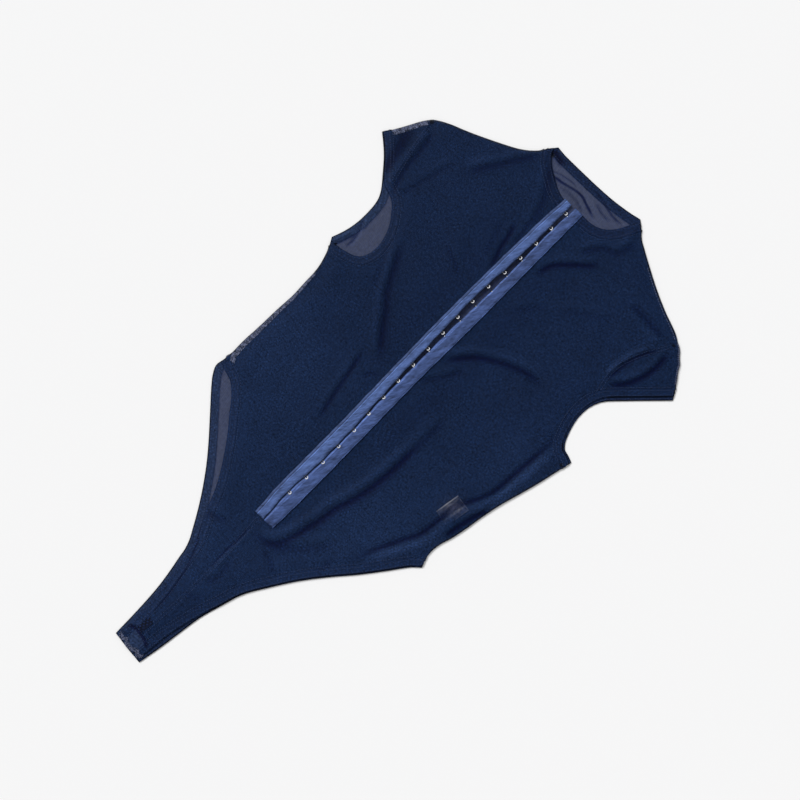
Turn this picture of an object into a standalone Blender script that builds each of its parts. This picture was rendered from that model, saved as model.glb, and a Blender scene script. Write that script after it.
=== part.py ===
"""A mesh bodysuit with cap sleeves, laid flat on its back panel with its front up.

Sizes are in millimetres until a point is placed. Across runs from the front opening toward the wearer's
left, and up runs from the crotch end toward the neck. The finished object is in metres, with its origin
on the ground under the middle of its box, +Y toward the neck and +X toward the wearer's left.
"""

import math
from collections import namedtuple

import bmesh
import bpy
from mathutils import Vector
from mathutils.geometry import delaunay_2d_cdt, intersect_line_line_2d

for leftover in list(bpy.data.objects):
    bpy.data.objects.remove(leftover)

# Walls and seams
MM = 0.001
CLOTH = 1.0
TAPE = 1.0
LABEL = 0.8
SEAM = 0.3
HALF_SEAM = SEAM / 2
FRONT_LOW = CLOTH + SEAM
PUFF = 1.5
PUFF_REACH = 22.0

# Widths of the strips sewn to the edges
BAND = 9.0
NECKBAND = 11.0
CLOSURE = 20.0

# Spacing of the points of the outlines and of the panels
EDGE_STEP = 12.0
CURVE_STEP = 8.4
FOLD_STEP = 13.0
FILL_STEP = 27.0
FILL_ROW = 23.5
FILL_CLEAR = 12.6
FILL_APART = 14.9
RIM_STEP = 14.0
RIM_CLEAR = 9.8
RIM_APART = 11.2
FOLD_CLEAR = 4.0
FOLD_APART = 0.6
MERGE = 2.0
REACH = 16.0
SPLINE_STEPS = 12
SHARP_ANGLE = math.radians(40.0)

# The front fastening
HOOKS = 19
HOOK_PITCH = 25.65
FIRST_HOOK = 251.1
PLACKET_LOW = 208.5
PLACKET_HIGH = 725.8
HOOK_HALF = 2.5
HOOK_REACH = 4.4
HOOK_ROOT = 3.0
HOOK_WIRE = 0.55
HOOK_LIFT = 0.95
EYE_HALF = 2.2
EYE_ROOT = 1.2
EYE_WIRE = 0.4
EYE_SHARE = 0.45
ARC_STEPS = 5
END_REACH = 40.0

# The care label, a plain ribbon laid inside the left side seam
LABEL_CORNER = (133.0, 353.5)
LABEL_LONG = 31.0
LABEL_SHORT = 25.0
LABEL_ANGLE = math.radians(79.0)

# The back layer's edges, each a row of (across, up) points, in order round the garment
CROTCH_END = ((-29.0, 2.0), (-11.7, 0.0), (12.5, -2.2))
LEFT_LEG = (
    (12.5, -2.2), (17.8, 25.7), (22.0, 54.0), (26.2, 80.5), (33.4, 105.1), (41.6, 130.8), (58.7, 159.6),
    (78.0, 188.6), (99.4, 215.4), (121.3, 240.7), (143.0, 268.4), (156.5, 286.4), (166.4, 295.6),
)
LEFT_SIDE = (
    (166.4, 295.6), (161.4, 309.0), (162.6, 327.0), (167.1, 341.8), (171.4, 360.4), (175.1, 381.9),
    (180.9, 408.5), (188.3, 433.8), (195.8, 460.5), (201.8, 486.0), (205.9, 501.1),
)
LEFT_OPENING = (
    (205.9, 501.1), (199.5, 504.0), (192.0, 505.9), (187.0, 510.0), (183.2, 517.0), (179.4, 527.5),
    (176.5, 539.0), (175.5, 550.0), (177.0, 564.0), (183.4, 578.8), (191.4, 587.8), (205.6, 602.0),
    (239.7, 635.9),
)
LEFT_SLEEVE_TOP = (
    (240.3, 636.5), (233.5, 648.0), (228.0, 657.0), (222.5, 664.5), (218.2, 672.5), (212.5, 678.0),
    (207.5, 684.6), (199.0, 690.2),
)
LEFT_SHOULDER = (
    (199.0, 690.2), (187.0, 697.7), (166.4, 706.1), (138.8, 719.7), (112.4, 734.9), (90.2, 748.5),
    (81.5, 754.5), (75.0, 761.5), (66.5, 769.4),
)
BACK_NECK = ((66.5, 769.4), (54.0, 767.0), (26.0, 764.0), (-26.0, 764.0), (-58.0, 765.4), (-64.0, 766.6))
RIGHT_SHOULDER = (
    (-64.0, 766.6), (-69.0, 760.5), (-75.0, 751.3), (-81.7, 743.3), (-95.0, 733.3), (-117.5, 722.0),
    (-152.3, 706.7), (-179.6, 696.2), (-194.8, 687.7),
)
RIGHT_SLEEVE_TOP = ((-194.8, 687.7), (-202.8, 676.8), (-212.3, 659.1), (-221.0, 644.0), (-228.0, 634.8))
RIGHT_OPENING = (
    (-228.0, 634.8), (-216.6, 625.3), (-205.0, 614.3), (-190.3, 597.3), (-181.0, 586.0), (-174.5, 576.0),
    (-171.2, 565.0), (-170.0, 550.0), (-170.3, 536.0), (-172.3, 522.4), (-175.4, 511.1), (-179.4, 500.1),
)
RIGHT_SIDE = (
    (-179.4, 500.1), (-173.5, 490.0), (-169.8, 480.5), (-164.6, 461.0), (-163.4, 439.0), (-162.3, 417.0),
    (-163.4, 396.0), (-164.2, 361.0), (-165.2, 339.0), (-164.8, 317.0), (-167.5, 297.5),
)
RIGHT_LEG = (
    (-167.5, 297.5), (-165.6, 291.7), (-155.4, 277.9), (-135.9, 256.5), (-109.0, 227.2), (-89.9, 204.3),
    (-68.4, 173.9), (-49.6, 142.2), (-42.2, 127.5), (-39.3, 113.0), (-35.6, 94.6), (-32.0, 70.0),
    (-30.0, 40.0), (-29.0, 2.0),
)

# The front layer's own edges, where they lie inside the back's
FRONT_LEFT_LEG = (
    (9.0, -1.2), (11.0, 12.0), (12.5, 24.5), (14.2, 40.0), (18.0, 57.0), (22.2, 74.0), (26.6, 89.0),
    (32.6, 105.5), (41.0, 131.2), (58.1, 160.1), (77.4, 189.1), (98.8, 216.0), (120.7, 241.3),
    (142.3, 269.0), (155.7, 286.9), (164.6, 295.8),
)
FRONT_LEFT_OPENING = (
    (204.5, 498.6), (198.5, 502.4), (191.0, 504.0), (185.3, 508.3), (181.2, 516.0), (177.2, 527.0),
    (174.3, 538.6), (173.2, 550.2), (174.4, 565.0), (180.2, 580.6), (188.3, 590.6), (202.6, 604.9),
    (236.7, 638.8),
)
FRONT_RIGHT_OPENING = (
    (-227.0, 635.6), (-216.0, 626.0), (-204.4, 614.9), (-190.5, 599.0), (-182.0, 590.6), (-174.5, 587.0),
    (-166.0, 584.5), (-157.7, 579.4), (-149.9, 570.6), (-141.3, 559.0), (-136.7, 548.9), (-133.4, 538.0),
    (-132.1, 526.2), (-133.8, 515.5), (-138.0, 507.0), (-145.1, 501.8), (-153.2, 499.3), (-161.0, 497.4),
    (-170.3, 496.6), (-177.5, 496.2),
)
FRONT_RIGHT_LEG = (
    (-165.6, 303.5), (-160.0, 300.8), (-152.0, 299.0), (-143.7, 296.2), (-130.8, 286.1), (-114.7, 266.7),
    (-98.8, 247.6), (-80.7, 221.9), (-70.0, 204.5), (-61.4, 187.0), (-56.1, 173.0), (-49.0, 158.5),
    (-42.5, 146.0), (-37.8, 134.0), (-34.5, 118.0), (-31.0, 95.0), (-28.0, 75.0), (-26.0, 55.0),
    (-25.5, 34.0), (-25.0, 1.0),
)
FRONT_CROTCH_END = ((-29.0, 2.8), (-11.7, 0.8), (12.5, -1.4))
FRONT_NECK_LEFT = (
    (69.6, 768.4), (64.9, 760.8), (62.0, 754.9), (58.3, 746.9), (52.4, 738.2), (45.1, 731.1), (35.6, 726.3),
    (25.5, 724.6), (14.5, 725.0), (0.0, 725.0),
)
FRONT_NECK_RIGHT = (
    (0.0, 724.6), (-14.4, 724.2), (-20.5, 725.2), (-30.2, 729.1), (-39.7, 734.8), (-50.7, 742.0),
    (-59.6, 750.0), (-64.8, 757.0), (-67.6, 763.5),
)

# The seams between each cap sleeve and the body, from the shoulder down to the armhole
LEFT_SLEEVE_SEAM = (
    (198.0, 689.0), (191.5, 673.2), (180.1, 653.2), (171.3, 633.2), (167.0, 611.0), (171.5, 584.5),
)
RIGHT_SLEEVE_SEAM = (
    (-194.0, 686.8), (-191.4, 671.4), (-186.3, 642.7), (-179.3, 614.9), (-175.0, 597.0), (-172.0, 586.0),
)

# The centre front seam below the fastening, as (up, across) rows
SEAM_ROWS = (
    (-20.0, -8.5), (0.0, -8.0), (60.0, -5.0), (120.0, -2.8), (160.0, -3.2), (190.0, -5.5), (204.0, -6.2),
)

# The fastening's two tapes: how far across each edge lies, at each height
PlacketRow = namedtuple("PlacketRow", "up hook_outer hook_inner eye_inner eye_outer")
PLACKET_ROWS = (
    PlacketRow(205.0, -14.0, -0.6, 0.2, 14.2),
    PlacketRow(250.0, -16.6, -3.0, -2.1, 15.2),
    PlacketRow(300.0, -16.5, -0.3, 0.7, 15.2),
    PlacketRow(350.0, -16.5, -0.6, 0.6, 14.6),
    PlacketRow(400.0, -17.5, -3.2, -1.2, 14.0),
    PlacketRow(450.0, -18.5, -5.5, -1.5, 13.6),
    PlacketRow(515.0, -19.2, -7.3, -1.4, 14.5),
    PlacketRow(555.0, -19.2, -8.4, 0.0, 14.9),
    PlacketRow(590.0, -18.8, -7.4, 1.3, 14.7),
    PlacketRow(620.0, -18.5, -4.8, 1.4, 14.5),
    PlacketRow(670.0, -17.2, -3.2, 0.6, 14.5),
    PlacketRow(745.0, -14.0, -3.4, 2.8, 14.4),
)
TUCK_UNDER_TAPE = 0.8

# The front layer's folds: a crest of (across, up) points, and its height and half width
Fold = namedtuple("Fold", "crest height half_width")
FOLDS = (
    Fold(((20.0, 236.0), (36.0, 268.0), (46.0, 300.0), (54.0, 330.0), (60.0, 372.0), (63.0, 410.0)),
         3.4, 9.0),
    Fold(((106.0, 250.0), (119.0, 277.0), (133.0, 302.0), (144.0, 330.0), (152.0, 352.0), (163.0, 384.0),
          (177.0, 417.0), (188.0, 448.0), (199.0, 484.0)), 4.6, 8.5),
    Fold(((143.0, 402.0), (155.0, 432.0), (159.0, 462.0), (164.0, 500.0), (166.0, 530.0)), 3.0, 9.0),
    Fold(((22.0, 480.0), (44.0, 500.0), (72.0, 524.0), (98.0, 534.0), (122.0, 540.0)), 2.4, 9.0),
    Fold(((26.0, 668.0), (42.0, 686.0), (60.0, 702.0), (72.0, 724.0)), 2.4, 8.0),
    Fold(((182.0, 606.0), (193.0, 622.0), (201.0, 640.0), (203.0, 662.0)), 2.6, 7.0),
    Fold(((-178.0, 596.0), (-184.0, 622.0), (-190.0, 652.0), (-192.0, 672.0)), 1.8, 6.0),
    Fold(((-60.0, 742.0), (-74.0, 730.0), (-98.0, 716.0), (-124.0, 704.0)), 1.8, 8.0),
    Fold(((-84.0, 470.0), (-88.0, 420.0), (-80.0, 366.0), (-84.0, 320.0)), 2.0, 11.0),
    Fold(((-122.0, 560.0), (-100.0, 600.0), (-70.0, 640.0), (-52.0, 676.0)), 1.8, 11.0),
    Fold(((18.0, 196.0), (36.0, 206.0), (58.0, 222.0), (84.0, 244.0)), 2.2, 8.0),
    Fold(((76.0, 600.0), (100.0, 626.0), (132.0, 650.0), (160.0, 662.0)), 1.8, 10.0),
)
FOLD_ENDS = 0.28

# Colours, roughness and metallic value of each finish
Finish = namedtuple("Finish", "colour roughness metallic")
MESH_NAVY = Finish((0.009, 0.020, 0.075), 0.55, 0.0)
BAND_NAVY = Finish((0.007, 0.015, 0.058), 0.50, 0.0)
TAPE_BLUE = Finish((0.120, 0.190, 0.420), 0.45, 0.0)
LABEL_GREY = Finish((0.350, 0.350, 0.400), 0.60, 0.0)


def smoothstep(value):
    """Eases from 0 to 1 as the value goes from 0 to 1."""
    part = min(1.0, max(0.0, value))
    return part * part * (3.0 - 2.0 * part)


def spline_point(a, b, c, d, part):
    """The point a part of the way from b to c, on a centripetal curve through all four."""
    t0 = 0.0
    t1 = t0 + math.sqrt((b - a).length)
    t2 = t1 + math.sqrt((c - b).length)
    t3 = t2 + math.sqrt((d - c).length)
    t = t1 + (t2 - t1) * part
    ab = a.lerp(b, (t - t0) / (t1 - t0))
    bc = b.lerp(c, (t - t1) / (t2 - t1))
    cd = c.lerp(d, (t - t2) / (t3 - t2))
    abc = ab.lerp(bc, (t - t0) / (t2 - t0))
    bcd = bc.lerp(cd, (t - t1) / (t3 - t1))
    return abc.lerp(bcd, (t - t1) / (t2 - t1))


def even(points, step):
    """The same line with its points about one step apart."""
    marks = [0.0]
    for here, there in zip(points, points[1:]):
        marks.append(marks[-1] + (there - here).length)
    count = max(1, round(marks[-1] / step))
    result = []
    k = 0
    for n in range(count + 1):
        want = marks[-1] * n / count
        while k < len(points) - 2 and marks[k + 1] < want:
            k += 1
        result.append(points[k].lerp(points[k + 1], (want - marks[k]) / (marks[k + 1] - marks[k])))
    return result


def smooth(table, step=EDGE_STEP):
    """A smooth line through a table's points, about one step between its own points."""
    points = [Vector(row) for row in table]
    held = [points[0] * 2 - points[1]] + points + [points[-1] * 2 - points[-2]]
    fine = [points[0]]
    for a, b, c, d in zip(held, held[1:], held[2:], held[3:]):
        fine += [spline_point(a, b, c, d, n / SPLINE_STEPS) for n in range(1, SPLINE_STEPS + 1)]
    return even(fine, step)


def offset(points, distance):
    """The line moved to its own left, which is into the garment."""
    result = []
    last = len(points) - 1
    for k, point in enumerate(points):
        before = (point - points[k - 1]).normalized() if k else (points[1] - point).normalized()
        after = (points[k + 1] - point).normalized() if k < last else before
        along = (before + after).normalized()
        stretch = max(0.5, along.dot(before))
        result.append(point + Vector((-along.y, along.x)) * (distance / stretch))
    return result


def extended(points):
    """The line with a straight length added at each end, so that it crosses its neighbours."""
    first = points[0] + (points[0] - points[1]).normalized() * REACH
    last = points[-1] + (points[-1] - points[-2]).normalized() * REACH
    return [first] + points[1:-1] + [last]


def crossing(line, other, near_end, near_start):
    """Where two lines cross, as the segment of each and the point, nearest to the ends that should meet."""
    best = None
    for i in range(len(line) - 1):
        for j in range(len(other) - 1):
            point = intersect_line_line_2d(line[i], line[i + 1], other[j], other[j + 1])
            if point is None:
                continue
            miss = (point - near_end).length + (point - near_start).length
            if best is None or miss < best[0]:
                best = (miss, i, j, point)
    return best[1:]


def ring(*edges):
    """A closed outline from edges in order, each one trimmed where it crosses the next."""
    long = [extended(edge) for edge in edges]
    count = len(edges)
    meets = []
    for k in range(count):
        after = (k + 1) % count
        meets.append(crossing(long[k], long[after], edges[k][-1], edges[after][0]))
    outline = []
    for k in range(count):
        start = meets[k - 1]
        end = meets[k]
        outline.append(start[2])
        for point in long[k][start[1] + 1 : end[0] + 1]:
            if min((point - start[2]).length, (point - end[2]).length) > MERGE:
                outline.append(point)
    return outline


def strip(edge, width, end_edge, start_edge):
    """The outline of a band along an edge, cut at both ends along the neighbouring edges."""
    inner = offset(edge, width - HALF_SEAM)
    return ring(edge, offset(end_edge, HALF_SEAM), inner[::-1], offset(start_edge, HALF_SEAM))


def is_inside(point, outline):
    """True where the point lies inside the closed outline."""
    inside = False
    for a, b in zip(outline, outline[1:] + outline[:1]):
        if (a.y > point.y) != (b.y > point.y):
            if point.x < a.x + (b.x - a.x) * (point.y - a.y) / (b.y - a.y):
                inside = not inside
    return inside


def gap_to(point, line):
    """How far the point is from a line, and how far along the line that is."""
    best = (math.inf, 0.0)
    run = 0.0
    for a, b in zip(line, line[1:]):
        side = b - a
        if side.length == 0.0:
            continue
        part = min(1.0, max(0.0, (point - a).dot(side) / side.length_squared))
        gap = (point - a - side * part).length
        if gap < best[0]:
            best = (gap, run + side.length * part)
        run += side.length
    return best


def placed(point, height):
    """A point of the garment in the finished object's metres."""
    return Vector((point.x - MIDDLE.x, point.y - MIDDLE.y, height)) * MM


def flat_on_ground(point):
    """The underside of the back layer."""
    return 0.0


def on_the_back(point):
    """The underside of what lies on the back layer, between it and the front."""
    return FRONT_LOW


def front_low(point):
    """The underside of the front layer: it rests on the back at its edges and stands in soft folds."""
    height = PUFF * smoothstep(gap_to(point, FRONT_RIM)[0] / PUFF_REACH)
    for fold, crest, length in CRESTS:
        gap, run = gap_to(point, crest)
        if gap < fold.half_width:
            taper = smoothstep(min(run, length - run) / (length * FOLD_ENDS))
            height += fold.height * math.cos(math.pi / 2 * gap / fold.half_width) ** 2 * taper
    return FRONT_LOW + height


def front_top(point):
    """The face of the front layer that what is sewn on it lies against."""
    return front_low(point) + CLOTH + SEAM


def placket_across(up, column):
    """How far across one edge of the tapes lies at a height."""
    for low, high in zip(PLACKET_ROWS, PLACKET_ROWS[1:]):
        if up <= high.up:
            part = smoothstep((up - low.up) / (high.up - low.up))
            return getattr(low, column) * (1 - part) + getattr(high, column) * part
    return getattr(PLACKET_ROWS[-1], column)


def placket_line(column, shift=0.0):
    """One edge of the tapes, from the bottom to past the neck, with a point at each half pitch."""
    ups = []
    up = FIRST_HOOK - HOOK_PITCH * 1.5
    while up < PLACKET_HIGH + REACH:
        ups.append(up)
        up += HOOK_PITCH / 2
    return [Vector((placket_across(up, column) + shift, up)) for up in ups]


def front_edge(column, shift):
    """A front panel's edge, up the centre seam and on under the tape."""
    seam = [Vector((across + math.copysign(HALF_SEAM, shift), up)) for up, across in SEAM_ROWS]
    return even(seam, EDGE_STEP) + placket_line(column, shift)


def inner_points(outline, low_points):
    """Points inside a front panel, on its folds, near its rim and on a staggered grid between them."""
    chosen = [point for point in low_points if is_inside(point, outline)]
    rim = outline + outline[:1]

    def add(point, from_rim, apart):
        if not is_inside(point, outline) or gap_to(point, rim)[0] < from_rim:
            return
        if all((point - other).length >= apart for other in chosen):
            chosen.append(point)

    for fold, crest, length in CRESTS:
        for line in (crest, offset(crest, fold.half_width), offset(crest, -fold.half_width)):
            for point in line:
                add(point, FOLD_CLEAR, fold.half_width * FOLD_APART)
    for point in offset(rim, RIM_STEP):
        add(point, RIM_CLEAR, RIM_APART)
    rows = int(max(point.y for point in outline) / FILL_ROW)
    columns = int(max(abs(point.x) for point in outline) / FILL_STEP)
    for row in range(rows + 1):
        for column in range(-columns - 1, columns + 1):
            across = (column + 0.5 * (row % 2)) * FILL_STEP
            add(Vector((across, row * FILL_ROW)), FILL_CLEAR, FILL_APART)
    return chosen


def finish(name, look):
    """A plain material with the finish's colour, roughness and metallic value."""
    material = bpy.data.materials.get(name) or bpy.data.materials.new(name)
    material.use_nodes = True
    shader = material.node_tree.nodes["Principled BSDF"]
    shader.inputs["Base Color"].default_value = (*look.colour, 1.0)
    shader.inputs["Roughness"].default_value = look.roughness
    shader.inputs["Metallic"].default_value = look.metallic
    material.diffuse_color = (*look.colour, 1.0)
    return material


def wall(name, outline, low, thickness, material, inner=()):
    """A cloth wall over an outline: its underside follows the given heights."""
    points = list(outline) + list(inner)
    corners = list(range(len(outline)))
    flat, _, triangles, *_ = delaunay_2d_cdt(points, [], [corners], 1, 0.001)
    work = bmesh.new()
    under = [work.verts.new(placed(point, low(point))) for point in flat]
    over = [work.verts.new(placed(point, low(point) + thickness)) for point in flat]
    sides = set()
    for a, b, c in triangles:
        if (flat[b] - flat[a]).cross(flat[c] - flat[a]) < 0:
            b, c = c, b
        work.faces.new((over[a], over[b], over[c]))
        work.faces.new((under[c], under[b], under[a]))
        sides.update(((a, b), (b, c), (c, a)))
    for a, b in sides:
        if (b, a) not in sides:
            work.faces.new((under[a], under[b], over[b], over[a]))
    mesh = bpy.data.meshes.new(name)
    work.to_mesh(mesh)
    work.free()
    mesh.shade_smooth()
    mesh.set_sharp_from_angle(angle=SHARP_ANGLE)
    mesh.materials.append(material)
    piece = bpy.data.objects.new(name, mesh)
    bpy.context.collection.objects.link(piece)
    return piece


def wires(name, paths, radius, material):
    """Round wire along each path, as one guide that a tape is joined to."""
    curve = bpy.data.curves.new(name, "CURVE")
    curve.dimensions = "3D"
    curve.bevel_depth = radius * MM
    curve.bevel_resolution = 1
    curve.use_fill_caps = True
    for path in paths:
        spline = curve.splines.new("POLY")
        spline.points.add(len(path) - 1)
        for point, place in zip(spline.points, path):
            point.co = (*place, 1.0)
    bent = bpy.data.objects.new(name, curve)
    mesh = bpy.data.meshes.new_from_object(bent)
    bpy.data.objects.remove(bent)
    mesh.materials.append(material)
    guide = bpy.data.objects.new(name + "_guide", mesh)
    guide.hide_render = True
    guide.display_type = "WIRE"
    bpy.context.collection.objects.link(guide)
    return guide


def joined(tape, guide):
    """Fuses the wires that are sewn into a tape to it, with plain faces so that the joins don't shade."""
    tape.data.shade_flat()
    guide.data.shade_flat()
    union = tape.modifiers.new("sewn wires", "BOOLEAN")
    union.operation = "UNION"
    union.object = guide
    union.solver = "EXACT"


def hook_path(up):
    """A hook: two legs out of the tape's face, and a round end that reaches over the slot."""
    edge = placket_across(up, "hook_inner")
    face = front_top(Vector((edge - HOOK_ROOT, up))) + TAPE
    legs = ((edge - HOOK_ROOT, face - TAPE / 2), (edge - HOOK_ROOT / 3, face + HOOK_LIFT))
    path = [placed(Vector((across, up - HOOK_HALF)), height) for across, height in legs]
    bend = edge + HOOK_REACH - HOOK_HALF
    for n in range(ARC_STEPS + 1):
        turn = math.pi * (n / ARC_STEPS - 0.5)
        round_end = Vector((bend + HOOK_HALF * math.cos(turn), up + HOOK_HALF * math.sin(turn)))
        path.append(placed(round_end, face + HOOK_LIFT))
    path += [placed(Vector((across, up + HOOK_HALF)), height) for across, height in legs[::-1]]
    return path


def eye_path(up):
    """An eye: a round loop that stands a little out of the tape's inner edge."""
    edge = placket_across(up, "eye_inner")
    slot = edge - placket_across(up, "hook_inner")
    face = front_top(Vector((edge + EYE_ROOT, up))) + TAPE
    tip = edge - max(SEAM, slot * EYE_SHARE) + EYE_WIRE
    depth = edge + EYE_ROOT - tip
    path = []
    for n in range(ARC_STEPS + 1):
        turn = math.pi * n / ARC_STEPS
        loop = Vector((edge + EYE_ROOT - depth * math.sin(turn), up + EYE_HALF * math.cos(turn)))
        path.append(placed(loop, face - TAPE / 2))
    return path


# The smooth edges, made once
crotch_end = smooth(CROTCH_END)
left_leg = smooth(LEFT_LEG)
left_side = smooth(LEFT_SIDE)
left_opening = smooth(LEFT_OPENING, CURVE_STEP)
left_sleeve_top = smooth(LEFT_SLEEVE_TOP, CURVE_STEP)
left_shoulder = smooth(LEFT_SHOULDER)
back_neck = smooth(BACK_NECK)
right_shoulder = smooth(RIGHT_SHOULDER)
right_sleeve_top = smooth(RIGHT_SLEEVE_TOP)
right_opening = smooth(RIGHT_OPENING, CURVE_STEP)
right_side = smooth(RIGHT_SIDE)
right_leg = smooth(RIGHT_LEG)
front_crotch_end = smooth(FRONT_CROTCH_END)
front_left_leg = smooth(FRONT_LEFT_LEG)
front_left_opening = smooth(FRONT_LEFT_OPENING, CURVE_STEP)
front_right_opening = smooth(FRONT_RIGHT_OPENING, CURVE_STEP)
front_right_leg = smooth(FRONT_RIGHT_LEG)
front_neck_left = smooth(FRONT_NECK_LEFT, CURVE_STEP)
front_neck_right = smooth(FRONT_NECK_RIGHT, CURVE_STEP)
left_sleeve_seam = smooth(LEFT_SLEEVE_SEAM)
right_sleeve_seam = smooth(RIGHT_SLEEVE_SEAM)

outer = left_leg + left_opening + left_sleeve_top + left_shoulder + right_shoulder + right_opening
MIDDLE = Vector((
    (min(point.x for point in outer) + max(point.x for point in outer)) / 2,
    (min(point.y for point in outer) + max(point.y for point in outer)) / 2,
))
FRONT_RIM = (
    front_left_leg + left_side + front_left_opening + left_sleeve_top + left_shoulder + front_neck_left[:-2]
    + front_neck_right[2:] + right_shoulder + right_sleeve_top + front_right_opening + right_side
    + front_right_leg + front_left_leg[:1]
)
CRESTS = []
for row in FOLDS:
    crest_line = smooth(row.crest, FOLD_STEP)
    CRESTS.append((row, crest_line, sum((b - a).length for a, b in zip(crest_line, crest_line[1:]))))

mesh_navy = finish("mesh_navy", MESH_NAVY)
band_navy = finish("band_navy", BAND_NAVY)
tape_blue = finish("tape_blue", TAPE_BLUE)
label_grey = finish("label_grey", LABEL_GREY)

# The back panel, flat on the ground inside its bands
wall(
    "back_panel",
    ring(
        offset(crotch_end, CLOSURE + HALF_SEAM),
        offset(left_leg, BAND + HALF_SEAM),
        left_side,
        offset(left_opening, BAND + HALF_SEAM),
        offset(left_sleeve_seam[::-1], HALF_SEAM),
        left_shoulder,
        offset(back_neck, NECKBAND + HALF_SEAM),
        right_shoulder,
        offset(right_sleeve_seam, HALF_SEAM),
        offset(right_opening, BAND + HALF_SEAM),
        right_side,
        offset(right_leg, BAND + HALF_SEAM),
    ),
    flat_on_ground,
    CLOTH,
    mesh_navy,
)

# The two front panels, each from the fastening and centre seam out to the side
right_edge = front_edge("hook_inner", -TUCK_UNDER_TAPE)
right_outline = ring(
    offset(front_crotch_end, CLOSURE + HALF_SEAM),
    right_edge,
    offset(front_neck_right, NECKBAND + HALF_SEAM),
    offset(right_shoulder, HALF_SEAM),
    offset(right_sleeve_seam, HALF_SEAM),
    offset(front_right_opening, BAND + HALF_SEAM),
    offset(right_side, HALF_SEAM),
    offset(front_right_leg, BAND + HALF_SEAM),
)
right_inner = inner_points(right_outline, placket_line("hook_outer"))
wall("front_panel_right", right_outline, front_low, CLOTH, mesh_navy, right_inner)

left_edge = front_edge("eye_inner", TUCK_UNDER_TAPE)
left_outline = ring(
    offset(front_crotch_end, CLOSURE + HALF_SEAM),
    offset(front_left_leg, BAND + HALF_SEAM),
    offset(left_side, HALF_SEAM),
    offset(front_left_opening, BAND + HALF_SEAM),
    offset(left_sleeve_seam[::-1], HALF_SEAM),
    offset(left_shoulder, HALF_SEAM),
    offset(front_neck_left, NECKBAND + HALF_SEAM),
    left_edge[::-1],
)
left_inner = inner_points(left_outline, placket_line("eye_outer"))
wall("front_panel_left", left_outline, front_low, CLOTH, mesh_navy, left_inner)

# The cap sleeves, each half between its armhole seam, its top seam and its hem band
SleeveHalf = namedtuple("SleeveHalf", "name low opening top seam")
right_top = right_sleeve_top[::-1]
for half in (
    SleeveHalf("sleeve_left_back", flat_on_ground, left_opening, left_sleeve_top, left_sleeve_seam),
    SleeveHalf("sleeve_left_front", front_low, front_left_opening, left_sleeve_top, left_sleeve_seam),
    SleeveHalf("sleeve_right_back", flat_on_ground, right_opening[::-1], right_top, right_sleeve_seam),
    SleeveHalf("sleeve_right_front", front_low, front_right_opening[::-1], right_top, right_sleeve_seam),
):
    side = 1 if "left" in half.name else -1
    cap = ring(
        offset(half.seam, HALF_SEAM * side),
        offset(half.opening, (BAND + HALF_SEAM) * side),
        offset(half.top, HALF_SEAM * side),
    )
    if side < 0:
        cap.reverse()
    folds = [point for _, crest, _ in CRESTS for point in crest if is_inside(point, cap)]
    folds = [point for point in folds if gap_to(point, cap + cap[:1])[0] > FOLD_CLEAR]
    wall(half.name, cap, half.low, CLOTH, mesh_navy, folds if half.low is front_low else ())

# The bands along the neck, the armholes and the legs
Band = namedtuple("Band", "name edge width end start low")
for band in (
    Band("neckband_back", back_neck, NECKBAND, right_shoulder, left_shoulder, flat_on_ground),
    Band("neckband_front_right", front_neck_right, NECKBAND, right_shoulder, right_edge, front_low),
    Band("neckband_front_left", front_neck_left, NECKBAND, left_edge[::-1], left_shoulder, front_low),
    Band("armhole_band_left_back", left_opening, BAND, left_sleeve_top, left_side, flat_on_ground),
    Band("armhole_band_left_front", front_left_opening, BAND, left_sleeve_top, left_side, front_low),
    Band("armhole_band_right_back", right_opening, BAND, right_side, right_sleeve_top, flat_on_ground),
    Band("armhole_band_right_front", front_right_opening, BAND, right_side, right_sleeve_top, front_low),
    Band("leg_band_left_back", left_leg, BAND, left_side, crotch_end, flat_on_ground),
    Band("leg_band_left_front", front_left_leg, BAND, left_side, front_crotch_end, front_low),
    Band("leg_band_right_back", right_leg, BAND, crotch_end, right_side, flat_on_ground),
    Band("leg_band_right_front", front_right_leg, BAND, front_crotch_end, right_side, front_low),
):
    wall(band.name, strip(band.edge, band.width, band.end, band.start), band.low, CLOTH, band_navy)

# The closure across the crotch end, between the leg bands
Closure = namedtuple("Closure", "name edge left right low")
for closure in (
    Closure("closure_back", crotch_end, left_leg, right_leg, flat_on_ground),
    Closure("closure_front", front_crotch_end, front_left_leg, front_right_leg, front_low),
):
    left_end = offset(closure.left, BAND)
    right_end = offset(closure.right, BAND)
    wall(closure.name, strip(closure.edge, CLOSURE, left_end, right_end), closure.low, CLOTH, band_navy)

# The two tapes on the front, with their hooks and eyes sewn in
low_end = [Vector((-END_REACH, PLACKET_LOW)), Vector((END_REACH, PLACKET_LOW))]
high_end = [Vector((END_REACH, PLACKET_HIGH)), Vector((-END_REACH, PLACKET_HIGH))]
hook_ups = [FIRST_HOOK + HOOK_PITCH * n for n in range(HOOKS)]

hook_outline = ring(low_end, placket_line("hook_inner"), high_end, placket_line("hook_outer")[::-1])
hook_tape = wall("hook_tape", hook_outline, front_top, TAPE, tape_blue)
joined(hook_tape, wires("hooks", [hook_path(up) for up in hook_ups], HOOK_WIRE, tape_blue))

eye_outline = ring(low_end, placket_line("eye_outer"), high_end, placket_line("eye_inner")[::-1])
eye_tape = wall("eye_tape", eye_outline, front_top, TAPE, tape_blue)
joined(eye_tape, wires("eyes", [eye_path(up) for up in hook_ups], EYE_WIRE, tape_blue))

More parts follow.
